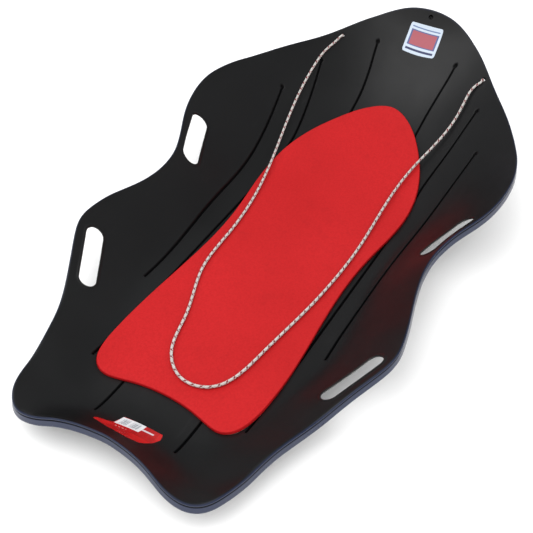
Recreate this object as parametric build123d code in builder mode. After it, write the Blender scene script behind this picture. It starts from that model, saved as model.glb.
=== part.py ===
from build123d import *
import math
import os

# ---------------------------------------------------------------------------
# Padded plastic snow sled with a tow rope.  Millimetres.
# Frame: +X towards the upturned nose, +Y to the rider's left, +Z up.
# Origin: on the ground under the middle of the sled.
# "Deck" is the upper surface of the moulded shell.
# ---------------------------------------------------------------------------

os.makedirs("parts", exist_ok=True)

# Shell sheet and its turned-down edge
SHELL_T = 3.4             # sheet thickness, measured upright
RIM_DROP = 20.0           # height of the edge band
RIM_T = 3.6               # thickness of the edge band
RIM_MAX_SHARE = 0.35      # largest share of the half width the band may take
TIP_DROP = 12.0           # height of the band where the nose narrows to nothing
TIP_DROP_RATE = 0.2       # growth of that height with the half width
TAIL_BAND_INSET = 0.15    # tail band, in from the outline
TAIL_BAND_TOP = 1.2       # top of the tail band below the deck

# Runners: a groove above, a rib below
GROOVE_W = 7.0            # seen from above
GROOVE_D = 2.4
GROOVE_CUT_TOP = 6.0      # top of the cutting bar above the deck
RUNNER_W = 15.0
RUNNER_DROP = 6.2         # below the sheet, before the ribs are levelled
RUNNER_OVERLAP = 0.9      # rib sunk into the sheet
BAR_STEP = 22.0           # spacing of the sections along a groove or rib

# Openings
SLOT_R = 14.2             # half width of a hand slot
ROPE_HOLE_R = 4.2
ROPE_HOLE_X, ROPE_HOLE_Y = 510.95, 168.7
NOSE_HOLE_R = 4.0         # hanging hole at the middle of the nose
NOSE_HOLE_X = 603.5
HOLE_REACH = 12.0         # hole cutters reach this far either side of the deck

# Upright cutters and prisms that pass right through the deck
PRISM_BOTTOM, PRISM_H = -20.0, 400.0

# Sheets that follow the deck: underside above the deck, and thickness
PAD_GAP, PAD_T = 0.9, 6.1
GLUE_GAP, GLUE_T = 0.45, 0.40
STICKER_GAP, STICKER_T = 0.35, 0.15
NOSE_STICKER_CORNER = 5.0
TAIL_LABEL_CORNER = 3.0

# Tow rope and its stopper knots
ROPE_R = 2.9
ROPE_END_BELOW = 3.6      # rope end below the sheet
ROPE_END_ABOVE = 1.6      # rope end above the deck
KNOT_R = 5.8
KNOT_GAP = 0.6            # knot below the sheet
KNOT_SHIFT = 6.2          # knot towards the inner side of its hole
KNOT_TAIL = 10.0          # cord beyond the knot's surface

# Deck shape: one column per list, one entry per station along X
DECK_X = [
    -648.82, -609.5, -570.18, -530.85, -491.53, -452.21, -412.89, -373.56, -334.24,
    -294.92, -255.6, -216.27, -176.95, -137.63, -98.31, -58.98, -19.66, 19.66,
    58.98, 98.31, 137.63, 176.95, 216.27, 255.6, 294.92, 334.24, 373.56,
    412.89, 452.21, 491.53, 530.85, 570.18, 609.5, 648.82,
]
# height of the centreline
DECK_CENTRE = [
    8.5, 8.5, 8.5, 8.5, 8.5, 8.5, 8.5, 8.5, 8.5,
    8.5, 8.5, 8.5, 8.5, 8.5, 8.5, 8.5, 8.5, 8.5,
    8.5, 8.5, 8.54, 9.74, 13.72, 18.56, 24.22, 30.99, 39.97,
    53.45, 72.07, 96.86, 128.74, 168.0, 212.21, 251.79,
]
# height of the rim
DECK_RIM = [
    -39.88, -17.48, 18.33, 42.92, 57.25, 62.28, 62.44, 68.55, 83.08,
    99.52, 112.73, 119.49, 119.7, 116.34, 112.76, 112.31, 116.89, 127.14,
    139.23, 147.67, 152.94, 158.11, 162.24, 162.71, 160.06, 156.51, 154.72,
    157.44, 166.46, 183.12, 208.76, 237.98, 258.59, 261.73,
]
# half width of the flat floor
DECK_FLOOR = [
    61.43, 69.2, 85.18, 102.03, 117.81, 132.34, 145.85, 159.13, 172.25,
    183.8, 191.96, 195.32, 194.18, 190.32, 185.61, 181.71, 180.0, 180.78,
    183.17, 186.09, 188.49, 189.34, 187.84, 184.01, 178.32, 170.23, 157.82,
    141.58, 124.73, 109.54, 95.76, 82.87, 72.47, 67.81,
]
# how gently the side wall starts
DECK_SOFT = [
    21.36, 20.52, 18.88, 17.29, 15.94, 14.82, 13.88, 13.05, 12.3,
    11.68, 11.26, 11.07, 11.03, 11.03, 11.03, 11.04, 11.15, 11.68,
    12.9, 14.85, 17.45, 20.72, 25.15, 31.28, 38.94, 47.63, 57.35,
    68.1, 79.24, 90.18, 100.9, 111.03, 118.88, 122.24,
]
# half width at the rim
DECK_HALF = [
    200.65, 201.53, 204.24, 210.72, 220.44, 232.13, 245.77, 261.5, 278.21,
    299.34, 317.05, 320.62, 311.62, 302.29, 293.05, 284.34, 280.18, 285.58,
    299.82, 319.25, 332.54, 338.67, 339.52, 335.03, 323.38, 307.21, 285.09,
    261.45, 242.86, 230.1, 221.19, 215.31, 211.36, 208.15,
]

# X of the cross-sections the shell is lofted through
SECTION_X = [
    -613, -590, -565, -535, -500, -460, -420, -380, -340, -300, -265, -235, -205, -165, -120,
    -75, -30, 10, 50, 90, 130, 170, 210, 250, 290, 330, 370, 410, 445, 475, 505, 530, 552,
    570, 584, 595, 603, 608.5, 611.2,
]
SECTION_POINTS = 21       # points across each section

# Extra upward curl at the nose tip: its height, and the X where it starts
NOSE_CURL, NOSE_CURL_X = 14.0, 572.0
# Tail upturn: slope, distance from the tail edge where it starts, softness
TAIL_SLOPE, TAIL_REACH, TAIL_SOFT = 1.1605, 62.4492, 17.5392
# Tail edge in plan: (distance off the centreline, X)
TAIL_EDGE = [
    (0.0, -581.97), (23.59, -583.94), (49.15, -587.38), (69.8, -591.8), (96.34, -599.67),
    (116.0, -606.55), (142.54, -609.5), (166.14, -607.53), (186.78, -601.64), (211.36, -589.84),
]

# Left half of the plan outline, nose tip to tail centre (X, Y)
OUTLINE = [
    (611.7, 0.0), (611.1, 17.6), (609.4, 35.1), (606.3, 52.4), (601.5, 69.4),
    (595.1, 85.7), (587.1, 101.4), (577.6, 116.2), (567.0, 130.2), (555.4, 143.5),
    (543.1, 156.1), (530.3, 168.2), (517.2, 179.9), (503.8, 191.3), (490.3, 202.6),
    (476.6, 213.7), (462.8, 224.6), (448.9, 235.3), (434.7, 245.8), (420.3, 256.0),
    (405.7, 265.8), (390.9, 275.3), (375.8, 284.3), (360.5, 293.0), (344.9, 301.1),
    (329.0, 308.7), (312.9, 315.8), (296.5, 322.1), (279.8, 327.6), (262.8, 332.3),
    (245.6, 336.0), (228.2, 338.6), (210.6, 339.9), (193.0, 340.0), (175.5, 338.9),
    (158.0, 336.5), (140.8, 332.9), (123.9, 328.2), (107.2, 322.4), (91.0, 315.7),
    (75.0, 308.3), (59.1, 300.8), (43.0, 293.7), (26.5, 287.5), (9.5, 282.9),
    (-7.9, 280.5), (-25.5, 280.2), (-43.0, 281.4), (-60.4, 283.9), (-77.7, 287.3),
    (-94.9, 291.3), (-111.9, 295.7), (-128.9, 300.3), (-145.9, 304.9), (-162.9, 309.4),
    (-180.0, 313.5), (-197.2, 317.2), (-214.6, 320.1), (-232.1, 321.1), (-249.5, 318.7),
    (-266.1, 313.0), (-282.0, 305.5), (-297.7, 297.5), (-313.3, 289.4), (-329.1, 281.6),
    (-344.9, 273.9), (-360.9, 266.5), (-377.0, 259.3), (-393.2, 252.4), (-409.5, 245.9),
    (-426.0, 239.8), (-442.6, 234.1), (-459.4, 228.8), (-476.4, 224.0), (-493.5, 219.8),
    (-510.7, 216.1), (-527.9, 212.6), (-545.0, 208.5), (-561.8, 203.2), (-577.8, 196.0),
    (-591.9, 185.5), (-602.6, 171.6), (-608.7, 155.2), (-609.5, 137.7), (-606.8, 120.3),
    (-602.3, 103.3), (-597.2, 86.4), (-592.3, 69.5), (-588.3, 52.4), (-585.1, 35.1),
    (-583.1, 17.6), (-582.4, 0.0),
]
TAIL_X = -566.0           # the fish-tail edge lies behind this X
TAIL_CUT_X = -580.0       # the tail cut joins the outline behind this X
# Start of the tail cut, coming in from outside the left flank (X, Y)
TAIL_CUT_START = [(TAIL_X, 240.0), (-576.0, 199.0), (-583.5, 192.4)]
# The left flank alone, tail to nose, without the fish-tail edge
FLANK = sorted(p for p in OUTLINE if not (p[0] < -560 and p[1] < 190))
FLANK_SLOPE = 0.4         # taper of the flank continued behind its last point

# Left half of the foam pad's outline, front tip to rear centre (X, Y)
PAD_OUTLINE = [
    (440.0, 0.0), (436.2, 19.5), (427.3, 37.3), (415.5, 53.4), (401.9, 68.0),
    (387.0, 81.1), (371.0, 93.1), (354.4, 104.2), (337.4, 114.6), (319.9, 124.3),
    (302.0, 133.1), (283.7, 140.9), (264.9, 147.7), (245.8, 153.2), (226.3, 157.4),
    (206.5, 160.2), (186.6, 161.6), (166.7, 161.9), (146.7, 161.2), (126.9, 159.7),
    (107.0, 157.6), (87.2, 155.1), (67.5, 152.4), (47.7, 149.8), (27.9, 147.5),
    (8.0, 145.7), (-11.9, 144.4), (-31.8, 143.7), (-51.8, 143.4), (-71.7, 143.6),
    (-91.7, 144.3), (-111.6, 145.3), (-131.5, 146.5), (-151.4, 148.0), (-171.3, 149.6),
    (-191.2, 151.3), (-211.1, 153.0), (-230.9, 154.6), (-250.8, 156.1), (-270.8, 157.4),
    (-290.7, 158.5), (-310.6, 159.2), (-330.6, 159.6), (-350.5, 159.4), (-370.4, 158.8),
    (-390.3, 157.3), (-410.0, 154.2), (-429.0, 148.2), (-444.7, 136.2), (-451.8, 117.9),
    (-449.8, 98.1), (-444.8, 78.8), (-440.0, 59.4), (-436.6, 39.8), (-434.7, 19.9),
    (-434.1, 0.0),
]

# Left runner grooves (X, Y): inner, middle, outer
GROOVES = [
    [(-520, 79.5), (-440, 79.5), (-300, 79.5), (0, 79.5), (300, 79.5), (405, 79),
     (440, 79.8), (470, 82.5), (500, 87), (525, 91.5), (541, 93.5)],
    [(-430, 155.5), (-300, 155), (0, 155), (200, 154), (272, 155.5),
     (320, 161.5), (370, 170), (410, 177.5), (447, 185.5)],
    [(-228, 193), (-180, 191), (-100, 191.5), (0, 194.5), (100, 198),
     (200, 206), (260, 213.5), (345, 227.5)],
]

# Left hand slots: the two end-circle centres of each (X, Y)
SLOTS = [((-322.0, 247.5), (-246.0, 287.0)), ((33.0, 261.5), (115.0, 294.0))]

# Sticker corners (X, Y)
NOSE_STICKER = [(591.0, 38.0), (592.0, -38.0), (548.5, -39.0), (547.5, 37.5)]
TAIL_LABEL = [
    (-543, 64), (-551, 25), (-553, -10), (-547, -32), (-530, -42.5), (-514, -47),
    (-502, -43), (-503.5, -5), (-505.5, 30), (-519, 36.5), (-533, 51), (-536, 62),
]

# Tow rope centrelines (X, Y, Z).  The rope is one loop on the deck, divided
# where it may bend: at the holes and twice along its length.
ROPE_RUNS = {
    "rope_front_left": [
        (504.4, 169.82, 159.81), (486.99, 176.42, 151.15), (469.37, 183.42, 143.23),
        (451.41, 188.46, 134.68), (433.36, 190.74, 125.14), (415.19, 192.06, 115.63),
        (396.93, 192.54, 106.24), (378.57, 192.23, 97.0), (360.14, 191.2, 87.99),
        (341.61, 189.5, 79.28), (322.98, 187.19, 70.93), (304.22, 184.33, 63.05),
        (285.31, 180.97, 55.74), (266.25, 177.18, 49.07), (247.02, 173.02, 43.14),
        (227.63, 168.57, 38.01), (208.1, 163.9, 33.67),
    ],
    "rope_front_right": [
        (504.2, -166.83, 157.99), (491.55, -155.78, 145.65), (474.41, -151.95, 134.32),
        (456.77, -151.51, 122.94), (439.17, -150.7, 111.49), (421.38, -148.73, 100.51),
        (403.45, -145.35, 90.11), (385.37, -140.92, 80.4), (367.07, -135.77, 71.46),
        (348.49, -130.27, 63.35), (329.55, -124.84, 56.09), (310.16, -119.95, 49.65),
        (290.32, -116.04, 44.0), (270.11, -113.16, 39.07), (249.63, -111.27, 34.82),
        (228.97, -110.26, 31.2), (208.18, -110.01, 28.18),
    ],
    "rope_mid_left": [
        (203.9, 162.88, 32.85), (184.44, 158.13, 29.49), (164.88, 153.36, 26.81),
        (145.23, 148.66, 24.73), (125.5, 144.12, 23.16), (105.68, 139.82, 22.0),
        (85.79, 135.82, 21.17), (65.82, 132.16, 20.59), (45.78, 128.85, 20.2),
        (25.68, 125.95, 19.95), (5.53, 123.47, 19.79), (-14.68, 121.44, 19.68),
        (-34.93, 119.88, 19.62), (-55.21, 118.82, 19.58), (-75.51, 118.06, 19.55),
        (-95.8, 117.21, 19.54),
    ],
    "rope_mid_right": [
        (203.82, -110.05, 27.62), (183.93, -110.51, 25.39), (164.01, -111.41, 23.63),
        (144.07, -112.61, 22.3), (124.12, -113.99, 21.34), (104.17, -115.43, 20.66),
        (84.2, -116.8, 20.22), (64.22, -117.99, 19.94), (44.22, -118.88, 19.77),
        (24.21, -119.42, 19.67), (4.19, -119.61, 19.61), (-15.83, -119.46, 19.58),
        (-35.84, -119.0, 19.56), (-55.84, -118.22, 19.54), (-75.83, -117.15, 19.53),
        (-95.81, -115.79, 19.53),
    ],
    "rope_rear": [
        (-100.2, 116.98, 19.54), (-120.16, 115.49, 19.52), (-140.01, 112.98, 19.52),
        (-159.62, 109.02, 19.51), (-178.85, 103.46, 19.51), (-197.71, 96.76, 19.51),
        (-216.35, 89.46, 19.5), (-234.94, 82.06, 19.5), (-253.68, 75.03, 19.5),
        (-272.72, 68.85, 19.5), (-292.1, 63.85, 19.5), (-311.58, 59.26, 19.5),
        (-330.82, 53.76, 19.5), (-349.26, 46.04, 19.51), (-366.06, 35.21, 19.51),
        (-380.41, 21.31, 19.51), (-391.21, 4.52, 19.51), (-396.6, -14.66, 19.52),
        (-395.41, -34.55, 19.52), (-387.94, -53.02, 19.51), (-374.45, -67.66, 19.51),
        (-357.14, -77.61, 19.51), (-338.2, -84.04, 19.51), (-318.65, -88.26, 19.51),
        (-298.85, -91.23, 19.51), (-278.99, -93.67, 19.51), (-259.12, -96.14, 19.5),
        (-239.28, -98.78, 19.5), (-219.46, -101.53, 19.51), (-199.63, -104.3, 19.51),
        (-179.8, -106.99, 19.51), (-159.94, -109.5, 19.51), (-140.05, -111.75, 19.52),
        (-120.14, -113.74, 19.52), (-100.19, -115.45, 19.53),
    ],
}


# ---- deck surface ----------------------------------------------------------
def natural_spline(xs, ys):
    """Natural cubic spline through a table; returns a function of x."""
    n = len(xs)
    gap = [xs[i + 1] - xs[i] for i in range(n - 1)]
    # tridiagonal equations for the second derivative at each point
    lower = [0.0] * n
    diag = [1.0] * n
    upper = [0.0] * n
    right = [0.0] * n
    for i in range(1, n - 1):
        lower[i] = gap[i - 1]
        diag[i] = 2 * (gap[i - 1] + gap[i])
        upper[i] = gap[i]
        right[i] = 6 * ((ys[i + 1] - ys[i]) / gap[i] - (ys[i] - ys[i - 1]) / gap[i - 1])
    for i in range(1, n):
        factor = lower[i] / diag[i - 1]
        diag[i] -= factor * upper[i - 1]
        right[i] -= factor * right[i - 1]
    bend = [0.0] * n
    for i in range(n - 2, -1, -1):
        bend[i] = (right[i] - upper[i] * bend[i + 1]) / diag[i]

    def value(x):
        k = 0
        while k < n - 2 and x > xs[k + 1]:
            k += 1
        after = x - xs[k]
        before = xs[k + 1] - x
        step = gap[k]
        return ((bend[k] * before ** 3 + bend[k + 1] * after ** 3) / (6 * step)
                + (ys[k] / step - bend[k] * step / 6) * before
                + (ys[k + 1] / step - bend[k + 1] * step / 6) * after)
    return value


centre_at, rim_at, floor_at, soft_at, half_at = (
    natural_spline(DECK_X, column)
    for column in (DECK_CENTRE, DECK_RIM, DECK_FLOOR, DECK_SOFT, DECK_HALF))
tail_edge_at = natural_spline([-y for y, x in TAIL_EDGE[:0:-1]] + [y for y, x in TAIL_EDGE],
                              [x for y, x in TAIL_EDGE[:0:-1]] + [x for y, x in TAIL_EDGE])


def ramp(y, bend_y, soft):
    """Flat near zero, slope one far out, with a soft bend at bend_y."""
    y = abs(y)
    top = max(y, bend_y)     # taken out of the exponents so they cannot overflow
    return top + soft * math.log(
        (math.exp((y - top) / soft) + math.exp((-y - top) / soft)) / 2
        + (math.exp((bend_y - top) / soft) + math.exp((-bend_y - top) / soft)) / 2)


def deck(x, y):
    """Height of the shell's upper surface."""
    centre, floor, soft = centre_at(x), floor_at(x), soft_at(x)
    base = ramp(0.0, floor, soft)
    side = (ramp(y, floor, soft) - base) / (ramp(half_at(x), floor, soft) - base)
    from_tail = x - tail_edge_at(min(abs(y), TAIL_EDGE[-1][0]))
    q = (TAIL_REACH - from_tail) / TAIL_SOFT
    upturn = q if q > 30 else math.log(1 + math.exp(q))
    curl = NOSE_CURL * (max(0.0, x - NOSE_CURL_X) / (SECTION_X[-1] - NOSE_CURL_X)) ** 2
    return centre + (rim_at(x) - centre) * side + TAIL_SLOPE * TAIL_SOFT * upturn + curl


def deck_frame(x, y):
    """Point on the deck and the upward normal there."""
    e = 0.5
    slope_x = (deck(x + e, y) - deck(x - e, y)) / (2 * e)
    slope_y = (deck(x, y + e) - deck(x, y - e)) / (2 * e)
    return Vector(x, y, deck(x, y)), Vector(-slope_x, -slope_y, 1).normalized()


# ---- helpers ---------------------------------------------------------------
def save(part, name):
    part.label = name
    export_step(part, f"parts/{name}.step")


def mirrored(half):
    """A left half followed by its mirror image, back to the start."""
    return half + [(x, -y) for x, y in half[-2::-1]]


def half_width(x):
    """Half width of the shell's cross-section at x."""
    rear_x, rear_y = FLANK[0]
    if x <= rear_x:
        return rear_y + FLANK_SLOPE * (x - rear_x)
    for (x0, y0), (x1, y1) in zip(FLANK, FLANK[1:]):
        if x <= x1:
            return y0 + (y1 - y0) * (x - x0) / (x1 - x0)


def densify(points):
    """Evenly spaced points along a smooth plan curve."""
    edge = Edge.make_spline([Vector(x, y, 0) for x, y in points])
    n = max(4, int(edge.length / BAR_STEP))
    spots = [edge.position_at(k / n) for k in range(n + 1)]
    return [(spot.X, spot.Y) for spot in spots]


def bar(plan, width, low, high, shift=0.0):
    """Rectangular bar along plan points, from low to high relative to the deck,
    moved by shift to the left of its direction of travel."""
    with BuildPart() as result:
        for k, (x, y) in enumerate(plan):
            xa, ya = plan[max(k - 1, 0)]
            xb, yb = plan[min(k + 1, len(plan) - 1)]
            length = math.hypot(xb - xa, yb - ya)
            tx, ty = (xb - xa) / length, (yb - ya) / length
            origin = (x - ty * shift, y + tx * shift, deck(x, y) + (low + high) / 2)
            with BuildSketch(Plane(origin=origin, x_dir=(-ty, tx, 0), z_dir=(tx, ty, 0))):
                Rectangle(width, high - low)
        loft()
    return result.part


# ---- shell -----------------------------------------------------------------
def build_shell():
    plans = [[(x, side * y) for x, y in densify(groove)]
             for groove in GROOVES for side in (1, -1)]
    runners = [bar(plan, RUNNER_W, -SHELL_T - RUNNER_DROP, -SHELL_T + RUNNER_OVERLAP)
               for plan in plans]
    groove_cuts = [bar(plan, GROOVE_W, -GROOVE_D, GROOVE_CUT_TOP) for plan in plans]
    tail_band = bar(mirrored([p for p in OUTLINE if p[0] < TAIL_X]),
                    RIM_T, -RIM_DROP, -TAIL_BAND_TOP, shift=RIM_T / 2 + TAIL_BAND_INSET)
    tail_cut = mirrored(TAIL_CUT_START + [p for p in OUTLINE if p[0] < TAIL_CUT_X])

    # positions across a section, -1 to 1, closer together at the edges
    last = SECTION_POINTS - 1
    spread = [math.sin(math.pi * (k / last - 0.5)) * 0.35 + (2 * k / last - 1) * 0.65
              for k in range(SECTION_POINTS)]

    with BuildPart() as shell:
        # cross-sections: dished sheet with a turned-down edge at each flank
        for x in SECTION_X:
            outer = half_width(x)
            inner = outer - min(RIM_T, RIM_MAX_SHARE * outer)
            top = [(t * outer, deck(x, t * outer)) for t in spread]
            under = [(t * inner, deck(x, t * inner) - SHELL_T) for t in spread[::-1]]
            band_z = top[-1][1] - min(RIM_DROP, TIP_DROP + TIP_DROP_RATE * outer)
            with BuildSketch(Plane(origin=(x, 0, 0), x_dir=(0, 1, 0), z_dir=(1, 0, 0))):
                with BuildLine():
                    Spline(*top)
                    Polyline(top[-1], (outer, band_z), (inner, band_z), under[0])
                    Spline(*under)
                    Polyline(under[-1], (-inner, band_z), (-outer, band_z), top[0])
                make_face()
        loft()

        # trim the rear to the fish-tail outline and give it its edge band
        with BuildSketch(Plane.XY.offset(-50)):
            with BuildLine():
                Spline(*tail_cut)
                Polyline(tail_cut[-1], (TAIL_X, -450), (700, -450), (700, 450),
                         (TAIL_X, 450), tail_cut[0])
            make_face()
        extrude(amount=600, mode=Mode.INTERSECT)
        add(tail_band)

        add(runners)
        add(groove_cuts, mode=Mode.SUBTRACT)
        # level the runners: their undersides share the ground plane
        add(Solid.extrude(Face.make_rect(1400, 900), Vector(0, 0, -60)), mode=Mode.SUBTRACT)

        # hand slots
        for (ax, ay), (bx, by) in SLOTS:
            for side in (1, -1):
                with BuildSketch(Plane(
                        origin=((ax + bx) / 2, side * (ay + by) / 2, PRISM_BOTTOM),
                        x_dir=(bx - ax, side * (by - ay), 0), z_dir=(0, 0, 1))):
                    SlotCenterToCenter(math.hypot(bx - ax, by - ay), 2 * SLOT_R)
                extrude(amount=PRISM_H, mode=Mode.SUBTRACT)

        # rope holes and nose hole, square to the deck
        for x, y, radius in ((ROPE_HOLE_X, ROPE_HOLE_Y, ROPE_HOLE_R),
                             (ROPE_HOLE_X, -ROPE_HOLE_Y, ROPE_HOLE_R),
                             (NOSE_HOLE_X, 0, NOSE_HOLE_R)):
            point, normal = deck_frame(x, y)
            with BuildSketch(Plane(origin=point - normal * HOLE_REACH, z_dir=normal)):
                Circle(radius)
            extrude(amount=2 * HOLE_REACH, mode=Mode.SUBTRACT)
    save(shell.part, "sled_shell")


# ---- pad, adhesive and stickers --------------------------------------------
def deck_patch(x0, x1, nx, y0, y1, ny):
    """Smooth face through a grid of deck heights, nx by ny cells."""
    xs = [x0 + (x1 - x0) * i / nx for i in range(nx + 1)]
    ys = [y0 + (y1 - y0) * j / ny for j in range(ny + 1)]
    grid = [[Vector(x, y, deck(x, y)) for y in ys] for x in xs]
    return Face.make_surface_from_array_of_points(grid, tol=0.02, min_deg=3, max_deg=3)


def smooth_face(points):
    edge = Edge.make_spline([Vector(x, y, 0) for x, y in points], periodic=True)
    return Face(Wire([edge]))


def rounded_face(points, corner):
    face = Face(Wire.make_polygon([Vector(x, y, 0) for x, y in points], close=True))
    return face.fillet_2d(corner, face.vertices())


def build_sheet(name, patch, plan_face, gap, thickness):
    """Sheet following the deck, its underside gap above it, cut to a plan shape."""
    prism = Solid.extrude(plan_face.moved(Pos(0, 0, PRISM_BOTTOM)), Vector(0, 0, PRISM_H))
    layer = Solid.extrude(patch.moved(Pos(0, 0, gap)), Vector(0, 0, thickness))
    with BuildPart() as sheet:
        add(prism & layer)
    save(sheet.part, name)


def build_sheets():
    pad_patch = deck_patch(-500.0, 500.0, 25, -200.0, 200.0, 20)
    # closed loop without its repeated end point, every second point
    pad_face = smooth_face(mirrored(PAD_OUTLINE)[:-1:2])
    build_sheet("foam_pad", pad_patch, pad_face, PAD_GAP, PAD_T)
    build_sheet("pad_adhesive", pad_patch, pad_face, GLUE_GAP, GLUE_T)
    build_sheet("nose_sticker", deck_patch(528.0, 604.0, 19, -56.0, 56.0, 14),
                rounded_face(NOSE_STICKER, NOSE_STICKER_CORNER), STICKER_GAP, STICKER_T)
    build_sheet("tail_label", deck_patch(-572.0, -484.0, 22, -60.0, 84.0, 16),
                rounded_face(TAIL_LABEL, TAIL_LABEL_CORNER), STICKER_GAP, STICKER_T)


# ---- tow rope --------------------------------------------------------------
def build_rope_run(name, points):
    path = Edge.make_spline([Vector(*p) for p in points])
    with BuildPart() as run:
        with BuildLine():
            add(path)
        with BuildSketch(Plane(origin=path.position_at(0), z_dir=path.tangent_at(0))):
            Circle(ROPE_R)
        sweep()
    save(run.part, name)


def build_rope_end(name, side):
    """Short length through a hole, with a stopper knot below the deck, set to
    the inner side of the hole so that it clears the edge band."""
    point, normal = deck_frame(ROPE_HOLE_X, side * ROPE_HOLE_Y)
    inward = Vector(-0.65, -0.76 * side, 0)
    inward = (inward - normal * inward.dot(normal)).normalized()
    below = SHELL_T + ROPE_END_BELOW
    knot = point - normal * (SHELL_T + KNOT_GAP + KNOT_R) + inward * KNOT_SHIFT
    with BuildPart() as rope_end:
        with BuildSketch(Plane(origin=point - normal * below, z_dir=normal)):
            Circle(ROPE_R)
        extrude(amount=below + ROPE_END_ABOVE)
        with Locations(Location(knot)):
            Sphere(KNOT_R)
        # short tail of cord leaving the knot, inward and down
        with BuildSketch(Plane(origin=knot, z_dir=inward * 0.8 - normal * 0.6)):
            Circle(ROPE_R)
        extrude(amount=KNOT_R + KNOT_TAIL)
    save(rope_end.part, name)


build_shell()
build_sheets()
for run_name, run_points in ROPE_RUNS.items():
    build_rope_run(run_name, run_points)
build_rope_end("rope_end_left", 1)
build_rope_end("rope_end_right", -1)
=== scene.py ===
"""A moulded black sled with a red foam pad, two printed stickers and a braided rope.

The sled lies on the floor: +x is the nose, +y the left side, +z up, with the y axis
across its middle. Shape tables are in millimetres, scaled by MM when meshes are made.
"""
import math
from functools import cached_property

import bmesh
import bpy
import numpy as np
from mathutils import Matrix, Vector
from mathutils.geometry import delaunay_2d_cdt


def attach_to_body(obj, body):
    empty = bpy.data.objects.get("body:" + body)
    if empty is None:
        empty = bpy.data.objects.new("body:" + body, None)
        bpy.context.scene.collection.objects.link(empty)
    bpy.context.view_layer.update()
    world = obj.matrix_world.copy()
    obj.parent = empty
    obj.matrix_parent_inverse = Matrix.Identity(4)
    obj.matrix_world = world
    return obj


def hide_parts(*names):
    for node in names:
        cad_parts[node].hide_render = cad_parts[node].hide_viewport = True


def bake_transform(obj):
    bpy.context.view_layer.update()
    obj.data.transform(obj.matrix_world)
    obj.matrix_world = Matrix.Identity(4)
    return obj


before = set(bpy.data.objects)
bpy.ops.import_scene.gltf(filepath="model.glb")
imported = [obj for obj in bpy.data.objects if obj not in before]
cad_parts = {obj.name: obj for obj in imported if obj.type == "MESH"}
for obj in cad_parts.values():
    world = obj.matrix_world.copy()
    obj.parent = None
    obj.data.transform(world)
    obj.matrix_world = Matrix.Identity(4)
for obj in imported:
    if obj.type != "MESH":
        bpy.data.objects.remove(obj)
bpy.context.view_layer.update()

MM = 0.001
scene = bpy.context.scene

# ---------------------------------------------------------------------------
# Deck shape
# ---------------------------------------------------------------------------
# Cross-sections at each station x: centre height, rim height, half-width of the
# flat floor, softness of the bend up from it, and half-width at the rim.
STATION_X = [
    -648.82, -609.5, -570.18, -530.86, -491.53, -452.21, -412.89, -373.56, -334.24,
    -294.92, -255.6, -216.27, -176.95, -137.63, -98.31, -58.98, -19.66, 19.66,
    58.98, 98.31, 137.63, 176.95, 216.27, 255.6, 294.92, 334.24, 373.56,
    412.89, 452.21, 491.53, 530.86, 570.18, 609.5, 648.82]
CENTRE_Z = [
    8.5, 8.5, 8.5, 8.5, 8.5, 8.5, 8.5, 8.5, 8.5,
    8.5, 8.5, 8.5, 8.5, 8.5, 8.5, 8.5, 8.5, 8.5,
    8.5, 8.5, 8.54, 9.74, 13.72, 18.55, 24.22, 30.99, 39.97,
    53.45, 72.07, 96.86, 128.74, 168.0, 212.21, 251.79]
RIM_Z = [
    -39.88, -17.48, 18.33, 42.92, 57.25, 62.28, 62.44, 68.55, 83.08,
    99.52, 112.73, 119.49, 119.7, 116.34, 112.76, 112.31, 116.89, 127.14,
    139.23, 147.67, 152.94, 158.11, 162.24, 162.71, 160.06, 156.51, 154.72,
    157.44, 166.46, 183.12, 208.76, 237.98, 258.59, 261.73]
FLOOR_HALF = [
    61.43, 69.2, 85.18, 102.03, 117.81, 132.34, 145.85, 159.13, 172.25,
    183.8, 191.96, 195.32, 194.18, 190.32, 185.61, 181.71, 180.0, 180.78,
    183.17, 186.09, 188.49, 189.34, 187.84, 184.01, 178.32, 170.23, 157.82,
    141.58, 124.73, 109.54, 95.76, 82.88, 72.47, 67.81]
BEND_SOFT = [
    21.36, 20.52, 18.88, 17.29, 15.94, 14.81, 13.88, 13.05, 12.3,
    11.68, 11.26, 11.07, 11.03, 11.03, 11.03, 11.04, 11.15, 11.68,
    12.9, 14.85, 17.45, 20.72, 25.15, 31.28, 38.94, 47.63, 57.35,
    68.1, 79.24, 90.18, 100.9, 111.03, 118.88, 122.24]
RIM_HALF = [
    200.65, 201.53, 204.24, 210.72, 220.44, 232.13, 245.77, 261.5, 278.21,
    299.34, 317.05, 320.62, 311.62, 302.29, 293.05, 284.34, 280.18, 285.58,
    299.82, 319.25, 332.54, 338.67, 339.52, 335.03, 323.38, 307.21, 285.09,
    261.45, 242.86, 230.1, 221.19, 215.31, 211.36, 208.15]
# Extra rise at the nose: height, and the x where it starts and reaches that height
NOSE_CURL, NOSE_CURL_X, NOSE_CURL_END_X = 14.0, 572.0, 611.2
# Upturned tail: its slope, how far ahead of the edge it starts, softness of the bend
TAIL_SLOPE, TAIL_REACH, TAIL_SOFT = 1.16, 62.449, 17.539
# Tail edge, left half: (y, x)
TAIL_EDGE = [
    (0.0, -581.97), (23.59, -583.94), (49.15, -587.38), (69.8, -591.8), (96.34, -599.67),
    (116.0, -606.55), (142.54, -609.5), (166.14, -607.53), (186.78, -601.64), (211.36, -589.84)]
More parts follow.
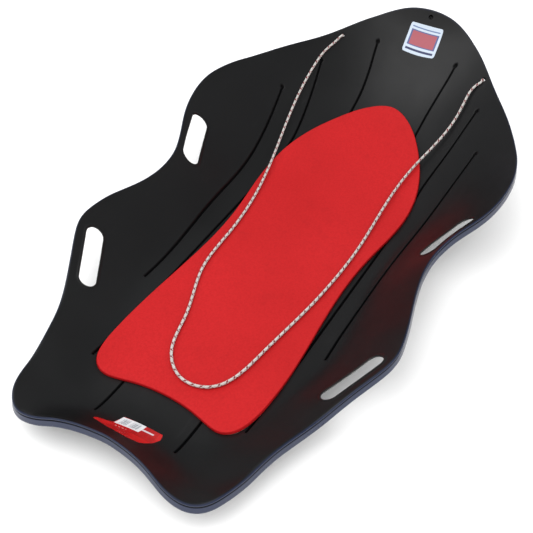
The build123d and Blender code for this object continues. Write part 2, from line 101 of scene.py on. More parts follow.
# Plan outline of the sled, left half, nose to tail: (x, y)
OUTLINE = [
    (611.7, 0.0), (611.1, 17.6), (609.4, 35.1), (606.3, 52.4), (601.5, 69.4),
    (595.1, 85.7), (587.1, 101.4), (577.6, 116.2), (567.0, 130.2), (555.4, 143.5),
    (543.1, 156.1), (530.3, 168.2), (517.2, 179.9), (503.8, 191.3), (490.3, 202.6),
    (476.6, 213.7), (462.8, 224.6), (448.9, 235.3), (434.7, 245.8), (420.3, 256.0),
    (405.7, 265.8), (390.9, 275.3), (375.8, 284.3), (360.5, 293.0), (344.9, 301.1),
    (329.0, 308.7), (312.9, 315.8), (296.5, 322.1), (279.8, 327.6), (262.8, 332.3),
    (245.6, 336.0), (228.2, 338.6), (210.6, 339.9), (193.0, 340.0), (175.5, 338.9),
    (158.0, 336.5), (140.8, 332.9), (123.9, 328.2), (107.2, 322.4), (91.0, 315.7),
    (75.0, 308.3), (59.1, 300.8), (43.0, 293.7), (26.5, 287.5), (9.5, 282.9),
    (-7.9, 280.5), (-25.5, 280.2), (-43.0, 281.4), (-60.4, 283.9), (-77.7, 287.3),
    (-94.9, 291.3), (-111.9, 295.7), (-128.9, 300.3), (-145.9, 304.9), (-162.9, 309.4),
    (-180.0, 313.5), (-197.2, 317.2), (-214.6, 320.1), (-232.1, 321.1), (-249.5, 318.7),
    (-266.1, 313.0), (-282.0, 305.5), (-297.7, 297.5), (-313.3, 289.4), (-329.1, 281.6),
    (-344.9, 273.9), (-360.9, 266.5), (-377.0, 259.3), (-393.2, 252.4), (-409.5, 245.9),
    (-426.0, 239.8), (-442.6, 234.1), (-459.4, 228.8), (-476.4, 224.0), (-493.5, 219.8),
    (-510.7, 216.1), (-527.9, 212.6), (-545.0, 208.5), (-561.8, 203.2), (-577.8, 196.0),
    (-591.9, 185.5), (-602.6, 171.6), (-608.7, 155.2), (-609.5, 137.7), (-606.8, 120.3),
    (-602.3, 103.3), (-597.2, 86.4), (-592.3, 69.5), (-588.3, 52.4), (-585.1, 35.1),
    (-583.1, 17.6), (-582.4, 0.0)]
# Plan outline of the foam pad, left half, nose to tail: (x, y)
PAD_OUTLINE = [
    (440.0, 0.0), (436.2, 19.5), (427.3, 37.3), (415.5, 53.4), (401.9, 68.0),
    (387.0, 81.1), (371.0, 93.1), (354.4, 104.2), (337.4, 114.6), (319.9, 124.3),
    (302.0, 133.1), (283.7, 140.9), (264.9, 147.7), (245.8, 153.2), (226.3, 157.4),
    (206.5, 160.2), (186.6, 161.6), (166.7, 161.9), (146.7, 161.2), (126.9, 159.7),
    (107.0, 157.6), (87.2, 155.1), (67.5, 152.4), (47.7, 149.8), (27.9, 147.5),
    (8.0, 145.7), (-11.9, 144.4), (-31.8, 143.7), (-51.8, 143.4), (-71.7, 143.6),
    (-91.7, 144.3), (-111.6, 145.3), (-131.5, 146.5), (-151.4, 148.0), (-171.3, 149.6),
    (-191.2, 151.3), (-211.1, 153.0), (-230.9, 154.6), (-250.8, 156.1), (-270.8, 157.4),
    (-290.7, 158.5), (-310.6, 159.2), (-330.6, 159.6), (-350.5, 159.4), (-370.4, 158.8),
    (-390.3, 157.3), (-410.0, 154.2), (-429.0, 148.2), (-444.7, 136.2), (-451.8, 117.9),
    (-449.8, 98.1), (-444.8, 78.8), (-440.0, 59.4), (-436.6, 39.8), (-434.7, 19.9),
    (-434.1, 0.0)]
# Centrelines of the left-hand grooves, tail to nose: (x, y)
GROOVE_INNER = [(-520, 79.5), (-440, 79.5), (-300, 79.5), (0, 79.5), (300, 79.5),
                (405, 79), (440, 79.8), (470, 82.5), (500, 87), (525, 91.5), (541, 93.5)]
GROOVE_MIDDLE = [(-430, 155.5), (-300, 155), (0, 155), (200, 154), (272, 155.5),
                 (320, 161.5), (370, 170), (410, 177.5), (447, 185.5)]
GROOVE_OUTER = [(-228, 193), (-180, 191), (-100, 191.5), (0, 194.5), (100, 198),
                (200, 206), (260, 213.5), (345, 227.5)]
GROOVE_DEPTH = 3.2
RIB_DEPTH = 4.9           # ridge on the underside beneath each groove
SKIN = 3.4                # thickness of the moulding
# Left-hand slots: plan centres (x, y) of the two round ends
SLOTS = [((-322.0, 247.5), (-246.0, 287.0)), ((33.0, 261.5), (115.0, 294.0))]
SLOT_RADIUS = 14.2
# Round holes: x, y, radius
ROPE_HOLE = (510.95, 168.7, 4.2)
NOSE_HOLE = (602.3, 0.0, 4.0)


def spline(knots, values):
    """Natural cubic spline through values (numbers or points) at the knots."""
    xs = np.asarray(knots, float)
    ys = np.asarray(values, float)
    n = len(xs)
    h = np.diff(xs)
    system = np.zeros((n, n))
    right = np.zeros((n,) + ys.shape[1:])
    system[0, 0] = system[-1, -1] = 1
    for i in range(1, n - 1):
        system[i, i - 1:i + 2] = h[i - 1], 2 * (h[i - 1] + h[i]), h[i]
        right[i] = 6 * ((ys[i + 1] - ys[i]) / h[i] - (ys[i] - ys[i - 1]) / h[i - 1])
    curve = np.linalg.solve(system, right)

    def evaluate(x):
        x = np.asarray(x, float)
        k = np.clip(np.searchsorted(xs, x) - 1, 0, n - 2)
        width = h[k]
        t, u = x - xs[k], xs[k + 1] - x
        if ys.ndim > 1:
            t, u, width = t[..., None], u[..., None], width[..., None]
        return ((curve[k] * u ** 3 + curve[k + 1] * t ** 3) / (6 * width)
                + (ys[k] / width - curve[k] * width / 6) * u
                + (ys[k + 1] / width - curve[k + 1] * width / 6) * t)
    return evaluate


centre_z, rim_z, floor_half, bend_soft, rim_half = (
    spline(STATION_X, column) for column in (CENTRE_Z, RIM_Z, FLOOR_HALF, BEND_SOFT, RIM_HALF))
tail_edge_x = spline([-y for y, x in TAIL_EDGE[:0:-1]] + [y for y, x in TAIL_EDGE],
                     [x for y, x in TAIL_EDGE[:0:-1]] + [x for y, x in TAIL_EDGE])


def soft_ramp(y, start, soft):
    """Flat until |y| reaches start, then rising: soft * log(cosh(y/soft) + cosh(start/soft)).
    The larger exponent is taken out first to avoid overflow."""
    y = np.abs(y)
    top = np.maximum(y, start)
    return top + soft * np.log(
        (np.exp((y - top) / soft) + np.exp((-y - top) / soft)) / 2
        + (np.exp((start - top) / soft) + np.exp((-start - top) / soft)) / 2)


def deck(x, y):
    """Height of the upper surface, without grooves."""
    x, y = np.asarray(x, float), np.asarray(y, float)
    centre, rim, start, soft, half = centre_z(x), rim_z(x), floor_half(x), bend_soft(x), rim_half(x)
    base = soft_ramp(0 * y, start, soft)
    side = (soft_ramp(y, start, soft) - base) / (soft_ramp(half, start, soft) - base)
    ahead = x - tail_edge_x(np.minimum(np.abs(y), TAIL_EDGE[-1][0]))
    tail = np.logaddexp(0, (TAIL_REACH - ahead) / TAIL_SOFT)
    curl = NOSE_CURL * (np.maximum(0.0, x - NOSE_CURL_X) / (NOSE_CURL_END_X - NOSE_CURL_X)) ** 2
    return centre + (rim - centre) * side + TAIL_SLOPE * TAIL_SOFT * tail + curl


def unit_rows(v):
    return v / np.linalg.norm(v, axis=-1, keepdims=True)


def normals(height, x, y, gap=0.4):
    """Unit normals of the surface z = height(x, y), by central differences."""
    slope_x = (height(x + gap, y) - height(x - gap, y)) / (2 * gap)
    slope_y = (height(x, y + gap) - height(x, y - gap)) / (2 * gap)
    return unit_rows(np.stack([-slope_x, -slope_y, np.ones_like(slope_x)], -1))


def deck_normal(x, y):
    return normals(deck, np.array([x]), np.array([y]))[0]


def deck_lift(plan, lift):
    """Plan points on the deck, moved by lift along its normal."""
    z = deck(plan[:, 0], plan[:, 1])
    return np.c_[plan, z] + normals(deck, plan[:, 0], plan[:, 1]) * np.asarray(lift)[..., None]


def smoothstep(low, high, v):
    t = np.clip((v - low) / (high - low), 0, 1)
    return t * t * (3 - 2 * t)


# ---------------------------------------------------------------------------
# Curves and plan loops
# ---------------------------------------------------------------------------
def arc_length(points):
    return np.r_[0, np.cumsum(np.linalg.norm(np.diff(points, axis=0), axis=1))]


def even_points(fine, step):
    """Evenly spaced points along a finely sampled curve, about step apart."""
    along = arc_length(fine)
    t = np.linspace(0, along[-1], int(round(along[-1] / step)) + 1)
    return np.stack([np.interp(t, along, fine[:, i]) for i in range(fine.shape[1])], -1)


def resample(points, step, closed=False):
    """Evenly spaced points along a smooth curve through points."""
    points = np.asarray(points, float)
    if closed:
        overlap = 6
        wrapped = np.vstack([points[-overlap:], points, points[:overlap + 1]])
        along = arc_length(wrapped)
        curve = spline(along, wrapped)
        start, end = along[overlap], along[overlap + len(points)]
    else:
        along = arc_length(points)
        curve = spline(along, points)
        start, end = 0, along[-1]
    even = even_points(curve(np.linspace(start, end, 6000)), step)
    return even[:-1] if closed else even


def loop_from_half(half):
    """Close a left-half outline with its mirror image."""
    return [tuple(p) for p in half] + [(p[0], -p[1]) for p in half[-2:0:-1]]


def is_anticlockwise(loop):
    return np.sum(loop[:, 0] * np.roll(loop[:, 1], -1) - np.roll(loop[:, 0], -1) * loop[:, 1]) > 0


def inward(loop):
    """Unit normals pointing into a closed plan loop."""
    t = unit_rows(np.roll(loop, -1, 0) - np.roll(loop, 1, 0))
    n = np.stack([-t[:, 1], t[:, 0]], -1)
    return n if is_anticlockwise(loop) else -n


def around(line, radius):
    """Closed plan loop at distance radius round a centreline."""
    t = unit_rows(np.gradient(line, axis=0))
    n = np.stack([-t[:, 1], t[:, 0]], -1)
    angles = np.linspace(0, math.pi, 7 if radius < 3 else 11)[1:-1]
    end = [line[-1] + radius * (n[-1] * math.cos(q) + t[-1] * math.sin(q)) for q in angles]
    start = [line[0] + radius * (-n[0] * math.cos(q) - t[0] * math.sin(q)) for q in angles]
    return np.vstack([line + n * radius, end, (line - n * radius)[::-1], start])


def slot_loop(slot, side, spread):
    """Plan outline of a round-ended slot, grown by spread."""
    (ax, ay), (bx, by) = slot
    rear, front = np.array([ax, side * ay]), np.array([bx, side * by])
    t = (front - rear) / np.linalg.norm(front - rear)
    across = np.array([-t[1], t[0]])
    radius = SLOT_RADIUS + spread
    points = []
    for near, far, sign in ((front, rear, 1), (rear, front, -1)):
        for q in np.linspace(-math.pi / 2, math.pi / 2, 26):
            points.append(near + radius * sign * (t * math.cos(q) + across * math.sin(q)))
        points += [near + across * radius * sign + (far - near) * k / 12 for k in range(1, 12)]
    return np.array(points)


def hole_loop(hole, side, spread):
    """Plan outline of a hole that is round when seen square to the deck."""
    x, y, radius = hole[0], side * hole[1], hole[2] + spread
    normal = deck_normal(x, y)
    e1 = np.cross(normal, [0, 1, 0])
    e1 /= np.linalg.norm(e1)
    e2 = np.cross(normal, e1)
    q = np.linspace(0, 2 * math.pi, 36, endpoint=False)[:, None]
    points = np.array([x, y, 0]) + radius * (np.cos(q) * e1 + np.sin(q) * e2)
    return points[:, :2]


def rounded(polygon, radius):
    """Plan loop with rounded corners and slightly bowed sides, finely divided."""
    corners = np.asarray(polygon, float)
    count = len(corners)
    arcs = []
    for i in range(count):
        before, corner, after = corners[i - 1], corners[i], corners[(i + 1) % count]
        u, v = (before - corner), (after - corner)
        length_u, length_v = np.linalg.norm(u), np.linalg.norm(v)
        u, v = u / length_u, v / length_v
        angle = math.acos(max(-1, min(1, float(u @ v))))
        cut = min(radius / math.tan(angle / 2), 0.45 * length_u, 0.45 * length_v)
        start, end = corner + u * cut, corner + v * cut
        for t in np.linspace(0, 1, 7):
            arcs.append((1 - t) ** 2 * start + 2 * t * (1 - t) * corner + t ** 2 * end)
    arcs = np.array(arcs)
    bow_share = 0.008 if is_anticlockwise(arcs) else -0.008
    spacing, min_gap = 2.5, 0.25
    points = []
    for i in range(len(arcs)):
        a, b = arcs[i], arcs[(i + 1) % len(arcs)]
        parts = max(1, int(np.linalg.norm(b - a) / spacing))
        bow = np.array([b[1] - a[1], a[0] - b[0]]) * bow_share
        points += [a + (b - a) * j / parts + bow * math.sin(math.pi * j / parts)
                   for j in range(parts)]
    keep = [points[0]]
    for point in points[1:]:
        if np.linalg.norm(point - keep[-1]) > min_gap:
            keep.append(point)
    if np.linalg.norm(keep[-1] - keep[0]) < min_gap:
        keep.pop()
    return np.array(keep)


# ---------------------------------------------------------------------------
# Groove field
# ---------------------------------------------------------------------------
GROOVES = []
for table in (GROOVE_INNER, GROOVE_MIDDLE, GROOVE_OUTER):
    centreline = resample(table, 5.5)
    for side in (1, -1):
        GROOVES.append(centreline * [1, side])


def groove_distance(x, y):
    """Distance to the nearest groove centreline, and to that groove's nose end.
    Both are huge for points well clear of every groove."""
    x, y = np.asarray(x, float), np.asarray(y, float)
    nearest = np.full(x.size, 1e9)
    nose_end = np.full(x.size, 1e9)
    points = np.stack([x.ravel(), y.ravel()], -1)
    for line in GROOVES:
        a, b = line[:-1], line[1:]
        lo, hi = line.min(0) - 14, line.max(0) + 14
        close = np.where(((points > lo) & (points < hi)).all(1))[0]
        if not len(close):
            continue
        q = points[close][:, None, :]
        ab = (b - a)[None]
        t = np.clip(((q - a[None]) * ab).sum(-1) / (ab ** 2).sum(-1), 0, 1)
        d = np.linalg.norm(q - (a[None] + ab * t[..., None]), axis=-1).min(1)
        to_end = np.linalg.norm(points[close] - line[-1], axis=1)
        better = d < nearest[close]
        nearest[close[better]] = d[better]
        nose_end[close[better]] = to_end[better]
    return nearest.reshape(x.shape), nose_end.reshape(x.shape)


def grooved_deck(x, y):
    """Deck height with grooves, each ending in a round pocket at the nose end."""
    d, to_end = groove_distance(x, y)
    groove = GROOVE_DEPTH * (1 - smoothstep(0.6, 3.0, d))
    pocket = GROOVE_DEPTH * (1 - smoothstep(1.5, 5.2, to_end))
    return deck(x, y) - np.maximum(groove, pocket)


def rib_drop(x, y):
    return RIB_DEPTH * (1 - smoothstep(4.6, 9.2, groove_distance(x, y)[0]))


# ---------------------------------------------------------------------------
# Mesh helpers
# ---------------------------------------------------------------------------
def add_object(name, data):
    obj = bpy.data.objects.new(name, data)
    scene.collection.objects.link(obj)
    return obj


def face_outward(mesh):
    bm = bmesh.new()
    bm.from_mesh(mesh)
    bmesh.ops.recalc_face_normals(bm, faces=bm.faces)
    bm.to_mesh(mesh)
    bm.free()


def add_attribute(mesh, name, values):
    """Per-vertex attribute: numbers, or 3-vectors when values has rows."""
    kind, field = ("FLOAT", "value") if values.ndim == 1 else ("FLOAT_VECTOR", "vector")
    attribute = mesh.attributes.new(name, kind, "POINT")
    attribute.data.foreach_set(field, values.astype(np.float32).ravel())


class Build:
    """Collects vertices and faces, then makes one object."""

    def __init__(self):
        self.points, self.faces, self.normals, self.tints, self.count = [], [], [], [], 0

    def add(self, points, normal=None, tint=0.0):
        """Add vertices and return their indices."""
        points = np.asarray(points, float)
        start = self.count
        self.points.append(points)
        self.normals.append(np.full(points.shape, np.nan) if normal is None else normal)
        self.tints.append(np.broadcast_to(tint, len(points)))
        self.count += len(points)
        return np.arange(start, self.count)

    def skins(self, top, bottom, triangles):
        """Faces of an upper sheet and of the lower sheet under it."""
        for t in triangles:
            for ids in (top[t], bottom[t[::-1]]):
                self.faces.append(tuple(int(i) for i in ids))

    def strip(self, a, b):
        """Join two closed rings with quads."""
        n = len(a)
        for i in range(n):
            j = (i + 1) % n
            self.faces.append((int(a[i]), int(a[j]), int(b[j]), int(b[i])))

    def extend(self, ring, points, tint=0.0):
        """Add a ring, join it to the last one and return it."""
        new = self.add(points, tint=tint)
        self.strip(ring, new)
        return new

    def make(self, name, custom_normals=False):
        mesh = bpy.data.meshes.new(name)
        mesh.from_pydata((np.vstack(self.points) * MM).tolist(), [], self.faces)
        mesh.validate(clean_customdata=False)
        obj = add_object(name, mesh)
        face_outward(mesh)
        mesh.polygons.foreach_set("use_smooth", [True] * len(mesh.polygons))
        if custom_normals:
            # Vertices without a given normal keep the automatic one
            custom = np.vstack(self.normals)
            auto = np.zeros(len(mesh.vertices) * 3, np.float32)
            mesh.vertices.foreach_get("normal", auto)
            auto = auto.reshape(-1, 3).astype(float)
            missing = np.isnan(custom[:, 0])
            custom[missing] = auto[missing]
            mesh.normals_split_custom_set_from_vertices(custom.tolist())
        mesh.update()
        return obj


def inside(points, loop):
    """Which points lie inside a closed plan loop."""
    x, y = points[:, 0], points[:, 1]
    result = np.zeros(len(points), bool)
    for (x0, y0), (x1, y1) in zip(loop, np.roll(loop, -1, 0)):
        if y0 != y1:
            crosses = (y0 > y) != (y1 > y)
            result ^= crosses & (x < (x1 - x0) * (y - y0) / (y1 - y0) + x0)
    return result


def near(points, others, radius):
    """Which points are closer than radius to any of the others."""
    def cell(p):
        return int(p[0] // radius), int(p[1] // radius)
    cells = {}
    for p in others:
        cells.setdefault(cell(p), []).append(p)
    result = np.zeros(len(points), bool)
    for i, q in enumerate(points):
        a, b = cell(q)
        result[i] = any((p[0] - q[0]) ** 2 + (p[1] - q[1]) ** 2 < radius * radius
                        for da in (-1, 0, 1) for db in (-1, 0, 1)
                        for p in cells.get((a + da, b + db), ()))
    return result


def triangular_grid(outer, step):
    lo, hi = outer.min(0), outer.max(0)
    rows = []
    y = lo[1] + 0.37 * step
    while y < hi[1]:
        x = lo[0] + (step / 2 if len(rows) % 2 else 0) + 0.11
        n = int((hi[0] - x) / step) + 1
        rows.append(np.stack([x + step * np.arange(n), np.full(n, y)], -1))
        y += step * math.sqrt(3) / 2
    return np.vstack(rows)


def triangulate(outer, holes, lines, step):
    """Constrained triangulation of a plan region. lines holds (points, closed) pairs.
    Returns points, triangles and the point indices of the outer loop and each hole."""
    fixed, edges = [], []

    def put(points, closed):
        start = len(fixed)
        fixed.extend([tuple(q) for q in points])
        n = len(points)
        for i in range(n if closed else n - 1):
            edges.append((start + i, start + (i + 1) % n))
        return list(range(start, start + n))
    loops = [put(loop, True) for loop in [outer] + holes]
    for line, closed in lines:
        put(line, closed)
    fixed = np.array(fixed)
    grid = triangular_grid(outer, step)
    grid = grid[inside(grid, outer)]
    for hole in holes:
        grid = grid[~inside(grid, hole)]
    grid = grid[~near(grid, fixed, step * 0.62)]
    given = np.vstack([fixed, grid])
    vertices, _, faces, sources, _, _ = delaunay_2d_cdt(
        [Vector((float(a), float(b))) for a, b in given], edges, [], 0, 1e-5, True)
    plan = np.array([(q[0], q[1]) for q in vertices])
    where = np.full(len(given), -1)
    for i, merged in enumerate(sources):
        for source in merged:
            where[source] = i
    triangles = np.array([t for t in faces if len(t) == 3])
    middle = plan[triangles].mean(1)
    keep = inside(middle, outer)
    for hole in holes:
        keep &= ~inside(middle, hole)
    triangles = triangles[keep]
    a, b, c = (plan[triangles[:, i]] for i in range(3))
    flip = ((b[:, 0] - a[:, 0]) * (c[:, 1] - a[:, 1])
            - (b[:, 1] - a[:, 1]) * (c[:, 0] - a[:, 0])) < 0
    triangles[flip] = triangles[flip][:, ::-1]
    return plan, triangles, [where[np.array(ids)] for ids in loops]


# ---------------------------------------------------------------------------
# Sled shell: one closed moulding
# ---------------------------------------------------------------------------
# Tints: positive paints a blue reflection, negative paints near-black shade.
RIM_START = 6.0           # inset of the rim's first ring
RIM_ROUND = 3.2           # inset over which the rim's upper edge is rounded
# Upper rim: inset, tint; the positive tints paint a blue reflection on the rounded edge
RIM_UPPER = ((5.2, 0), (4.4, 0), (3.7, 0), (3.0, .35), (2.2, .35), (1.4, .9), (.75, .9),
             (.25, .9), (0.0, .9))
# Step, outer skirt and its inner face: inset, height from the rim, tint; the negative tints paint
# shade in the step, the positive ones a blue reflection on the skirt
RIM_SKIRT = (
    (0.1, -5.7, -.15), (0.8, -6.2, -.8), (1.9, -6.7, -1), (2.0, -7.4, -1), (1.8, -8.0, -1),
    (0.7, -8.5, -.6), (0.0, -9.0, .8), (-0.25, -9.9, 1), (-0.6, -12.2, 1), (-1.1, -14.8, 1),
    (-1.7, -17.2, 1), (-2.15, -19.2, 1), (-2.2, -20.6, 1), (-1.8, -21.5, 1), (-1.0, -22.0, 1),
    (0.0, -21.9, .8), (0.7, -21.2, .5), (1.0, -20.0, 0), (1.6, -16.8, 0), (2.3, -13.0, 0),
    (2.9, -9.8, 0))
# Openings: spread of the outline, height from the deck, tint; the negative tints paint shade inside
# the holes
SLOT_MARGIN, HOLE_MARGIN = 6.0, 1.6
SLOT_PROFILE = (
    (4.8, .12, 0), (3.8, .45, 0), (2.9, .9, 0), (2.0, 1.2, 0), (1.2, 1.22, 0), (.55, .9, 0),
    (.15, .3, 0), (0, -.5, 0), (0, -2.2, 0), (.15, -3.1, 0), (.6, -3.7, 0), (1.4, -3.95, 0),
    (2.6, -3.8, 0), (4.2, -3.25, 0))
HOLE_PROFILE = (
    (1.1, 0, -.7), (.6, -.04, -1), (.2, -.3, -1), (0, -.9, -1), (0, -2.4, -1), (.2, -3.0, -1),
    (.8, -3.35, -1))
# Distances from each groove centreline at which mesh lines follow it
GROOVE_MESH_RADII = (1.2, 2.2, 3.2, 4.3, 6.6, 9.6)


def opening_ring(plan, height):
    """Raised rings move along the deck normal, sunk ones straight down."""
    if height < 0:
        return np.c_[plan, deck(plan[:, 0], plan[:, 1]) + height]
    return deck_lift(plan, height)


def capped_deck(plan, rim_height):
    """Deck height, blended smoothly into a ceiling 2 mm below the rim."""
    height, ceiling, blend = deck(plan[:, 0], plan[:, 1]), rim_height - 2.0, 1.8
    h = np.clip(0.5 + 0.5 * (ceiling - height) / blend, 0, 1)
    return ceiling * (1 - h) + height * h - blend * h * (1 - h)


def add_rim(build, loop, top_ring, bottom_ring):
    """Rounded edge, recessed step and hanging skirt round the whole sled."""
    into = inward(loop)
    edge_z = deck(loop[:, 0], loop[:, 1])
    ring = top_ring
    for inset, tint in RIM_UPPER:
        plan = loop + into * inset
        z = capped_deck(plan, edge_z)
        if inset < RIM_ROUND:
            z = z - 3.4 * (1 - math.sqrt(1 - (1 - inset / RIM_ROUND) ** 2))
        ring = build.extend(ring, np.c_[plan, z], tint)
    for inset, height, tint in RIM_SKIRT:
        # The skirt is up to 35 % deeper at the nose
        deeper = 1 + 0.35 * smoothstep(555.0, 600.0, loop[:, 0]) * smoothstep(8.0, 14.0, -height)
        ring = build.extend(ring, np.c_[loop + into * inset, edge_z + height * deeper], tint)
    for inset, height, ceiling in ((3.5, -3.9, edge_z - 7.6), (4.7, -3.4, np.inf)):
        plan = loop + into * inset
        z = np.minimum(capped_deck(plan, edge_z) + height, ceiling)
        ring = build.extend(ring, np.c_[plan, z])
    build.strip(ring, bottom_ring)


def build_shell():
    build = Build()
    loop = resample(loop_from_half(OUTLINE), 4.4, closed=True)
    openings = [(slot_loop, slot, side, SLOT_MARGIN, SLOT_PROFILE)
                for slot in SLOTS for side in (1, -1)]
    openings += [(hole_loop, hole, side, HOLE_MARGIN, HOLE_PROFILE)
                 for hole, side in ((ROPE_HOLE, 1), (ROPE_HOLE, -1), (NOSE_HOLE, 1))]
    edges = [outline(shape, side, margin) for outline, shape, side, margin, _ in openings]
    lines = []
    for line in GROOVES:
        lines.append((line, False))
        lines += [(around(line, radius), True) for radius in GROOVE_MESH_RADII]
    plan, triangles, rings = triangulate(loop + inward(loop) * RIM_START, edges, lines, 8.4)

    x, y = plan[:, 0], plan[:, 1]
    d, to_end = groove_distance(x, y)
    # Painted near-black shade along the grooves and in their end pockets
    shade = 0.86 * np.maximum(1 - smoothstep(1.1, 2.9, d), 1 - smoothstep(3.0, 5.4, to_end))
    top = build.add(np.c_[plan, grooved_deck(x, y)], normals(grooved_deck, x, y, 0.3), -shade)
    # The underside stays just above the floor
    bottom = build.add(np.c_[plan, np.maximum(deck(x, y) - SKIN - rib_drop(x, y), 0.06)])
    build.skins(top, bottom, triangles)
    add_rim(build, loop, top[rings[0]], bottom[rings[0]])
    for (outline, shape, side, _, profile), ids in zip(openings, rings[1:]):
        ring = top[ids]
        for spread, height, tint in profile:
            points = opening_ring(outline(shape, side, spread), height)
            ring = build.extend(ring, points, tint)
        build.strip(ring, bottom[ids])

    obj = build.make("sled_moulding", custom_normals=True)
    tint = np.concatenate(build.tints)
    # Painted blue reflection (positive tints) and painted near-black shade (negative tints)
    add_attribute(obj.data, "painted_reflection", np.maximum(0.0, tint))
    add_attribute(obj.data, "dark", np.maximum(0.0, -tint))
    return obj


# ---------------------------------------------------------------------------
# Sheets that lie on the deck: pad, adhesive, stickers
# ---------------------------------------------------------------------------
def build_sheet(name, loop, low, high, edge, step, wave=None, bulge=0.0):
    """Closed sheet between two heights above the deck. edge is the radius of its
    rounded upper edge, wave an offset of its top, bulge how far its sides swell."""
    build = Build()
    into = inward(loop)
    inset = max(edge * 1.6, 0.8)
    plan, triangles, rings = triangulate(loop + into * inset, [], [], step)

    def top_height(points):
        height = np.full(len(points), high)
        return height + wave(points) if wave else height
    top = build.add(deck_lift(plan, top_height(plan)))
    bottom = build.add(deck_lift(plan, low))
    build.skins(top, bottom, triangles)
    ring = top[rings[0]]
    steps = 7 if edge > 1 else 3
    for i in range(1, steps + 1):
        q = i / steps * math.pi / 2
        points = loop + into * (edge * (1 - math.sin(q)))
        height = top_height(points) - edge * (1 - math.cos(q))
        ring = build.extend(ring, deck_lift(points, height))
    side_top = high - edge
    for f in ((0.66, 0.33, 0.1) if bulge else (0.3,)):
        points = loop - into * bulge * 4 * f * (1 - f)
        ring = build.extend(ring, deck_lift(points, low + (side_top - low) * f))
    ring = build.extend(ring, deck_lift(loop + into * min(0.4, inset / 2), low))
    build.strip(ring, bottom[rings[0]])
    return build.make(name)


def pad_wave(plan):
    """Slight unevenness of the pad, and shallow dips over the grooves."""
    x, y = plan[:, 0], plan[:, 1]
    wave = (0.10 * np.sin(x * 0.021 + 1.3 * np.sin(y * 0.017))
            + 0.08 * np.sin(y * 0.043 + 0.011 * x + 0.7)
            + 0.05 * np.sin(x * 0.083 + y * 0.061))
    return wave - 0.30 * (1 - smoothstep(1.0, 7.0, groove_distance(x, y)[0]))


def add_print_coords(obj, name, plan_to_print):
    """Store print coordinates, worked out from each vertex's plan position."""
    plan = (np.array([v.co[:] for v in obj.data.vertices]) / MM)[:, :2]
    coords = np.zeros((len(plan), 3))
    coords[:, :2] = plan_to_print(plan)
    add_attribute(obj.data, name, coords)


# ---------------------------------------------------------------------------
# Materials
# ---------------------------------------------------------------------------
def srgb(*channels):
    return tuple(((c / 255 + 0.055) / 1.055) ** 2.4 if c > 10 else c / 255 / 12.92
                 for c in channels)


class Material:
    """Node material. Colours are scaled by dim, to suit the bright studio light."""

    def __init__(self, name, dim=0.70):
        self.dim = dim
        self.material = bpy.data.materials.new(name)
        self.material.use_nodes = True
        self.tree = self.material.node_tree
        self.shader = next(n for n in self.tree.nodes if n.type == "BSDF_PRINCIPLED")

    def node(self, kind, **settings):
        node = self.tree.nodes.new(kind)
        for name, value in settings.items():
            setattr(node, name, value)
        return node

    def put(self, socket, value):
        """Feed a socket with a number, a colour or another node's output."""
        if isinstance(value, (int, float)):
            socket.default_value = value
        elif isinstance(value, tuple):
            socket.default_value = tuple(c * self.dim for c in value) + (1.0,)
        else:
            self.tree.links.new(value, socket)

    def math(self, operation, a, b=0.0):
        node = self.node("ShaderNodeMath", operation=operation)
        self.put(node.inputs[0], a)
        self.put(node.inputs[1], b)
        return node.outputs[0]

    def times(self, a, b):
        return self.math("MULTIPLY", a, b)

    def mix(self, factor, a, b):
        """Colour a where factor is 0, b where it is 1."""
        node = self.node("ShaderNodeMix", data_type="RGBA")
        for index, value in ((0, factor), (6, a), (7, b)):
            self.put(node.inputs[index], value)
        return node.outputs[2]

    @cached_property
    def object_coords(self):
        return self.node("ShaderNodeTexCoord").outputs["Object"]

    def scaled_coords(self, scale):
        source = self.object_coords
        node = self.node("ShaderNodeMapping")
        node.inputs["Scale"].default_value = scale
        self.put(node.inputs["Vector"], source)
        return node.outputs[0]

    def noise(self, scale, detail=2.0, rough=0.5, coords=None):
        node = self.node("ShaderNodeTexNoise")
        node.inputs["Scale"].default_value = scale
        node.inputs["Detail"].default_value = detail
        node.inputs["Roughness"].default_value = rough
        self.put(node.inputs["Vector"], self.object_coords if coords is None else coords)
        return node.outputs[0]

    def remap(self, value, span, to=(0, 1)):
        """Map the range span onto the range to, clamped."""
        node = self.node("ShaderNodeMapRange", clamp=True)
        self.put(node.inputs["Value"], value)
        for name, limit in zip(("From Min", "From Max", "To Min", "To Max"), (*span, *to)):
            node.inputs[name].default_value = limit
        return node.outputs[0]

    def attribute(self, name, output="Fac"):
        return self.node("ShaderNodeAttribute", attribute_name=name).outputs[output]

    def attribute_uv(self, name):
        """First two components of a vector attribute."""
        node = self.node("ShaderNodeSeparateXYZ")
        self.put(node.inputs[0], self.attribute(name, "Vector"))
        return node.outputs[0], node.outputs[1]

    def box(self, coords, u, v, soft=0.004):
        """1 inside the rectangle with ranges u and v, 0 outside, with soft edges."""
        sides = []
        for axis, (low, high) in zip(coords, (u, v)):
            sides.append(self.remap(axis, span=(low - soft, low + soft)))
            sides.append(self.remap(axis, span=(high - soft, high + soft), to=(1, 0)))
        return self.times(self.times(sides[0], sides[1]), self.times(sides[2], sides[3]))

    def bump(self, height, strength):
        """Surface relief; height is in metres."""
        node = self.node("ShaderNodeBump")
        node.inputs["Strength"].default_value = strength
        node.inputs["Distance"].default_value = 1.0
        self.put(node.inputs["Height"], height)
        self.put(self.shader.inputs["Normal"], node.outputs[0])

    def set(self, **inputs):
        for name, value in inputs.items():
            self.put(self.shader.inputs[name.replace("_", " ")], value)


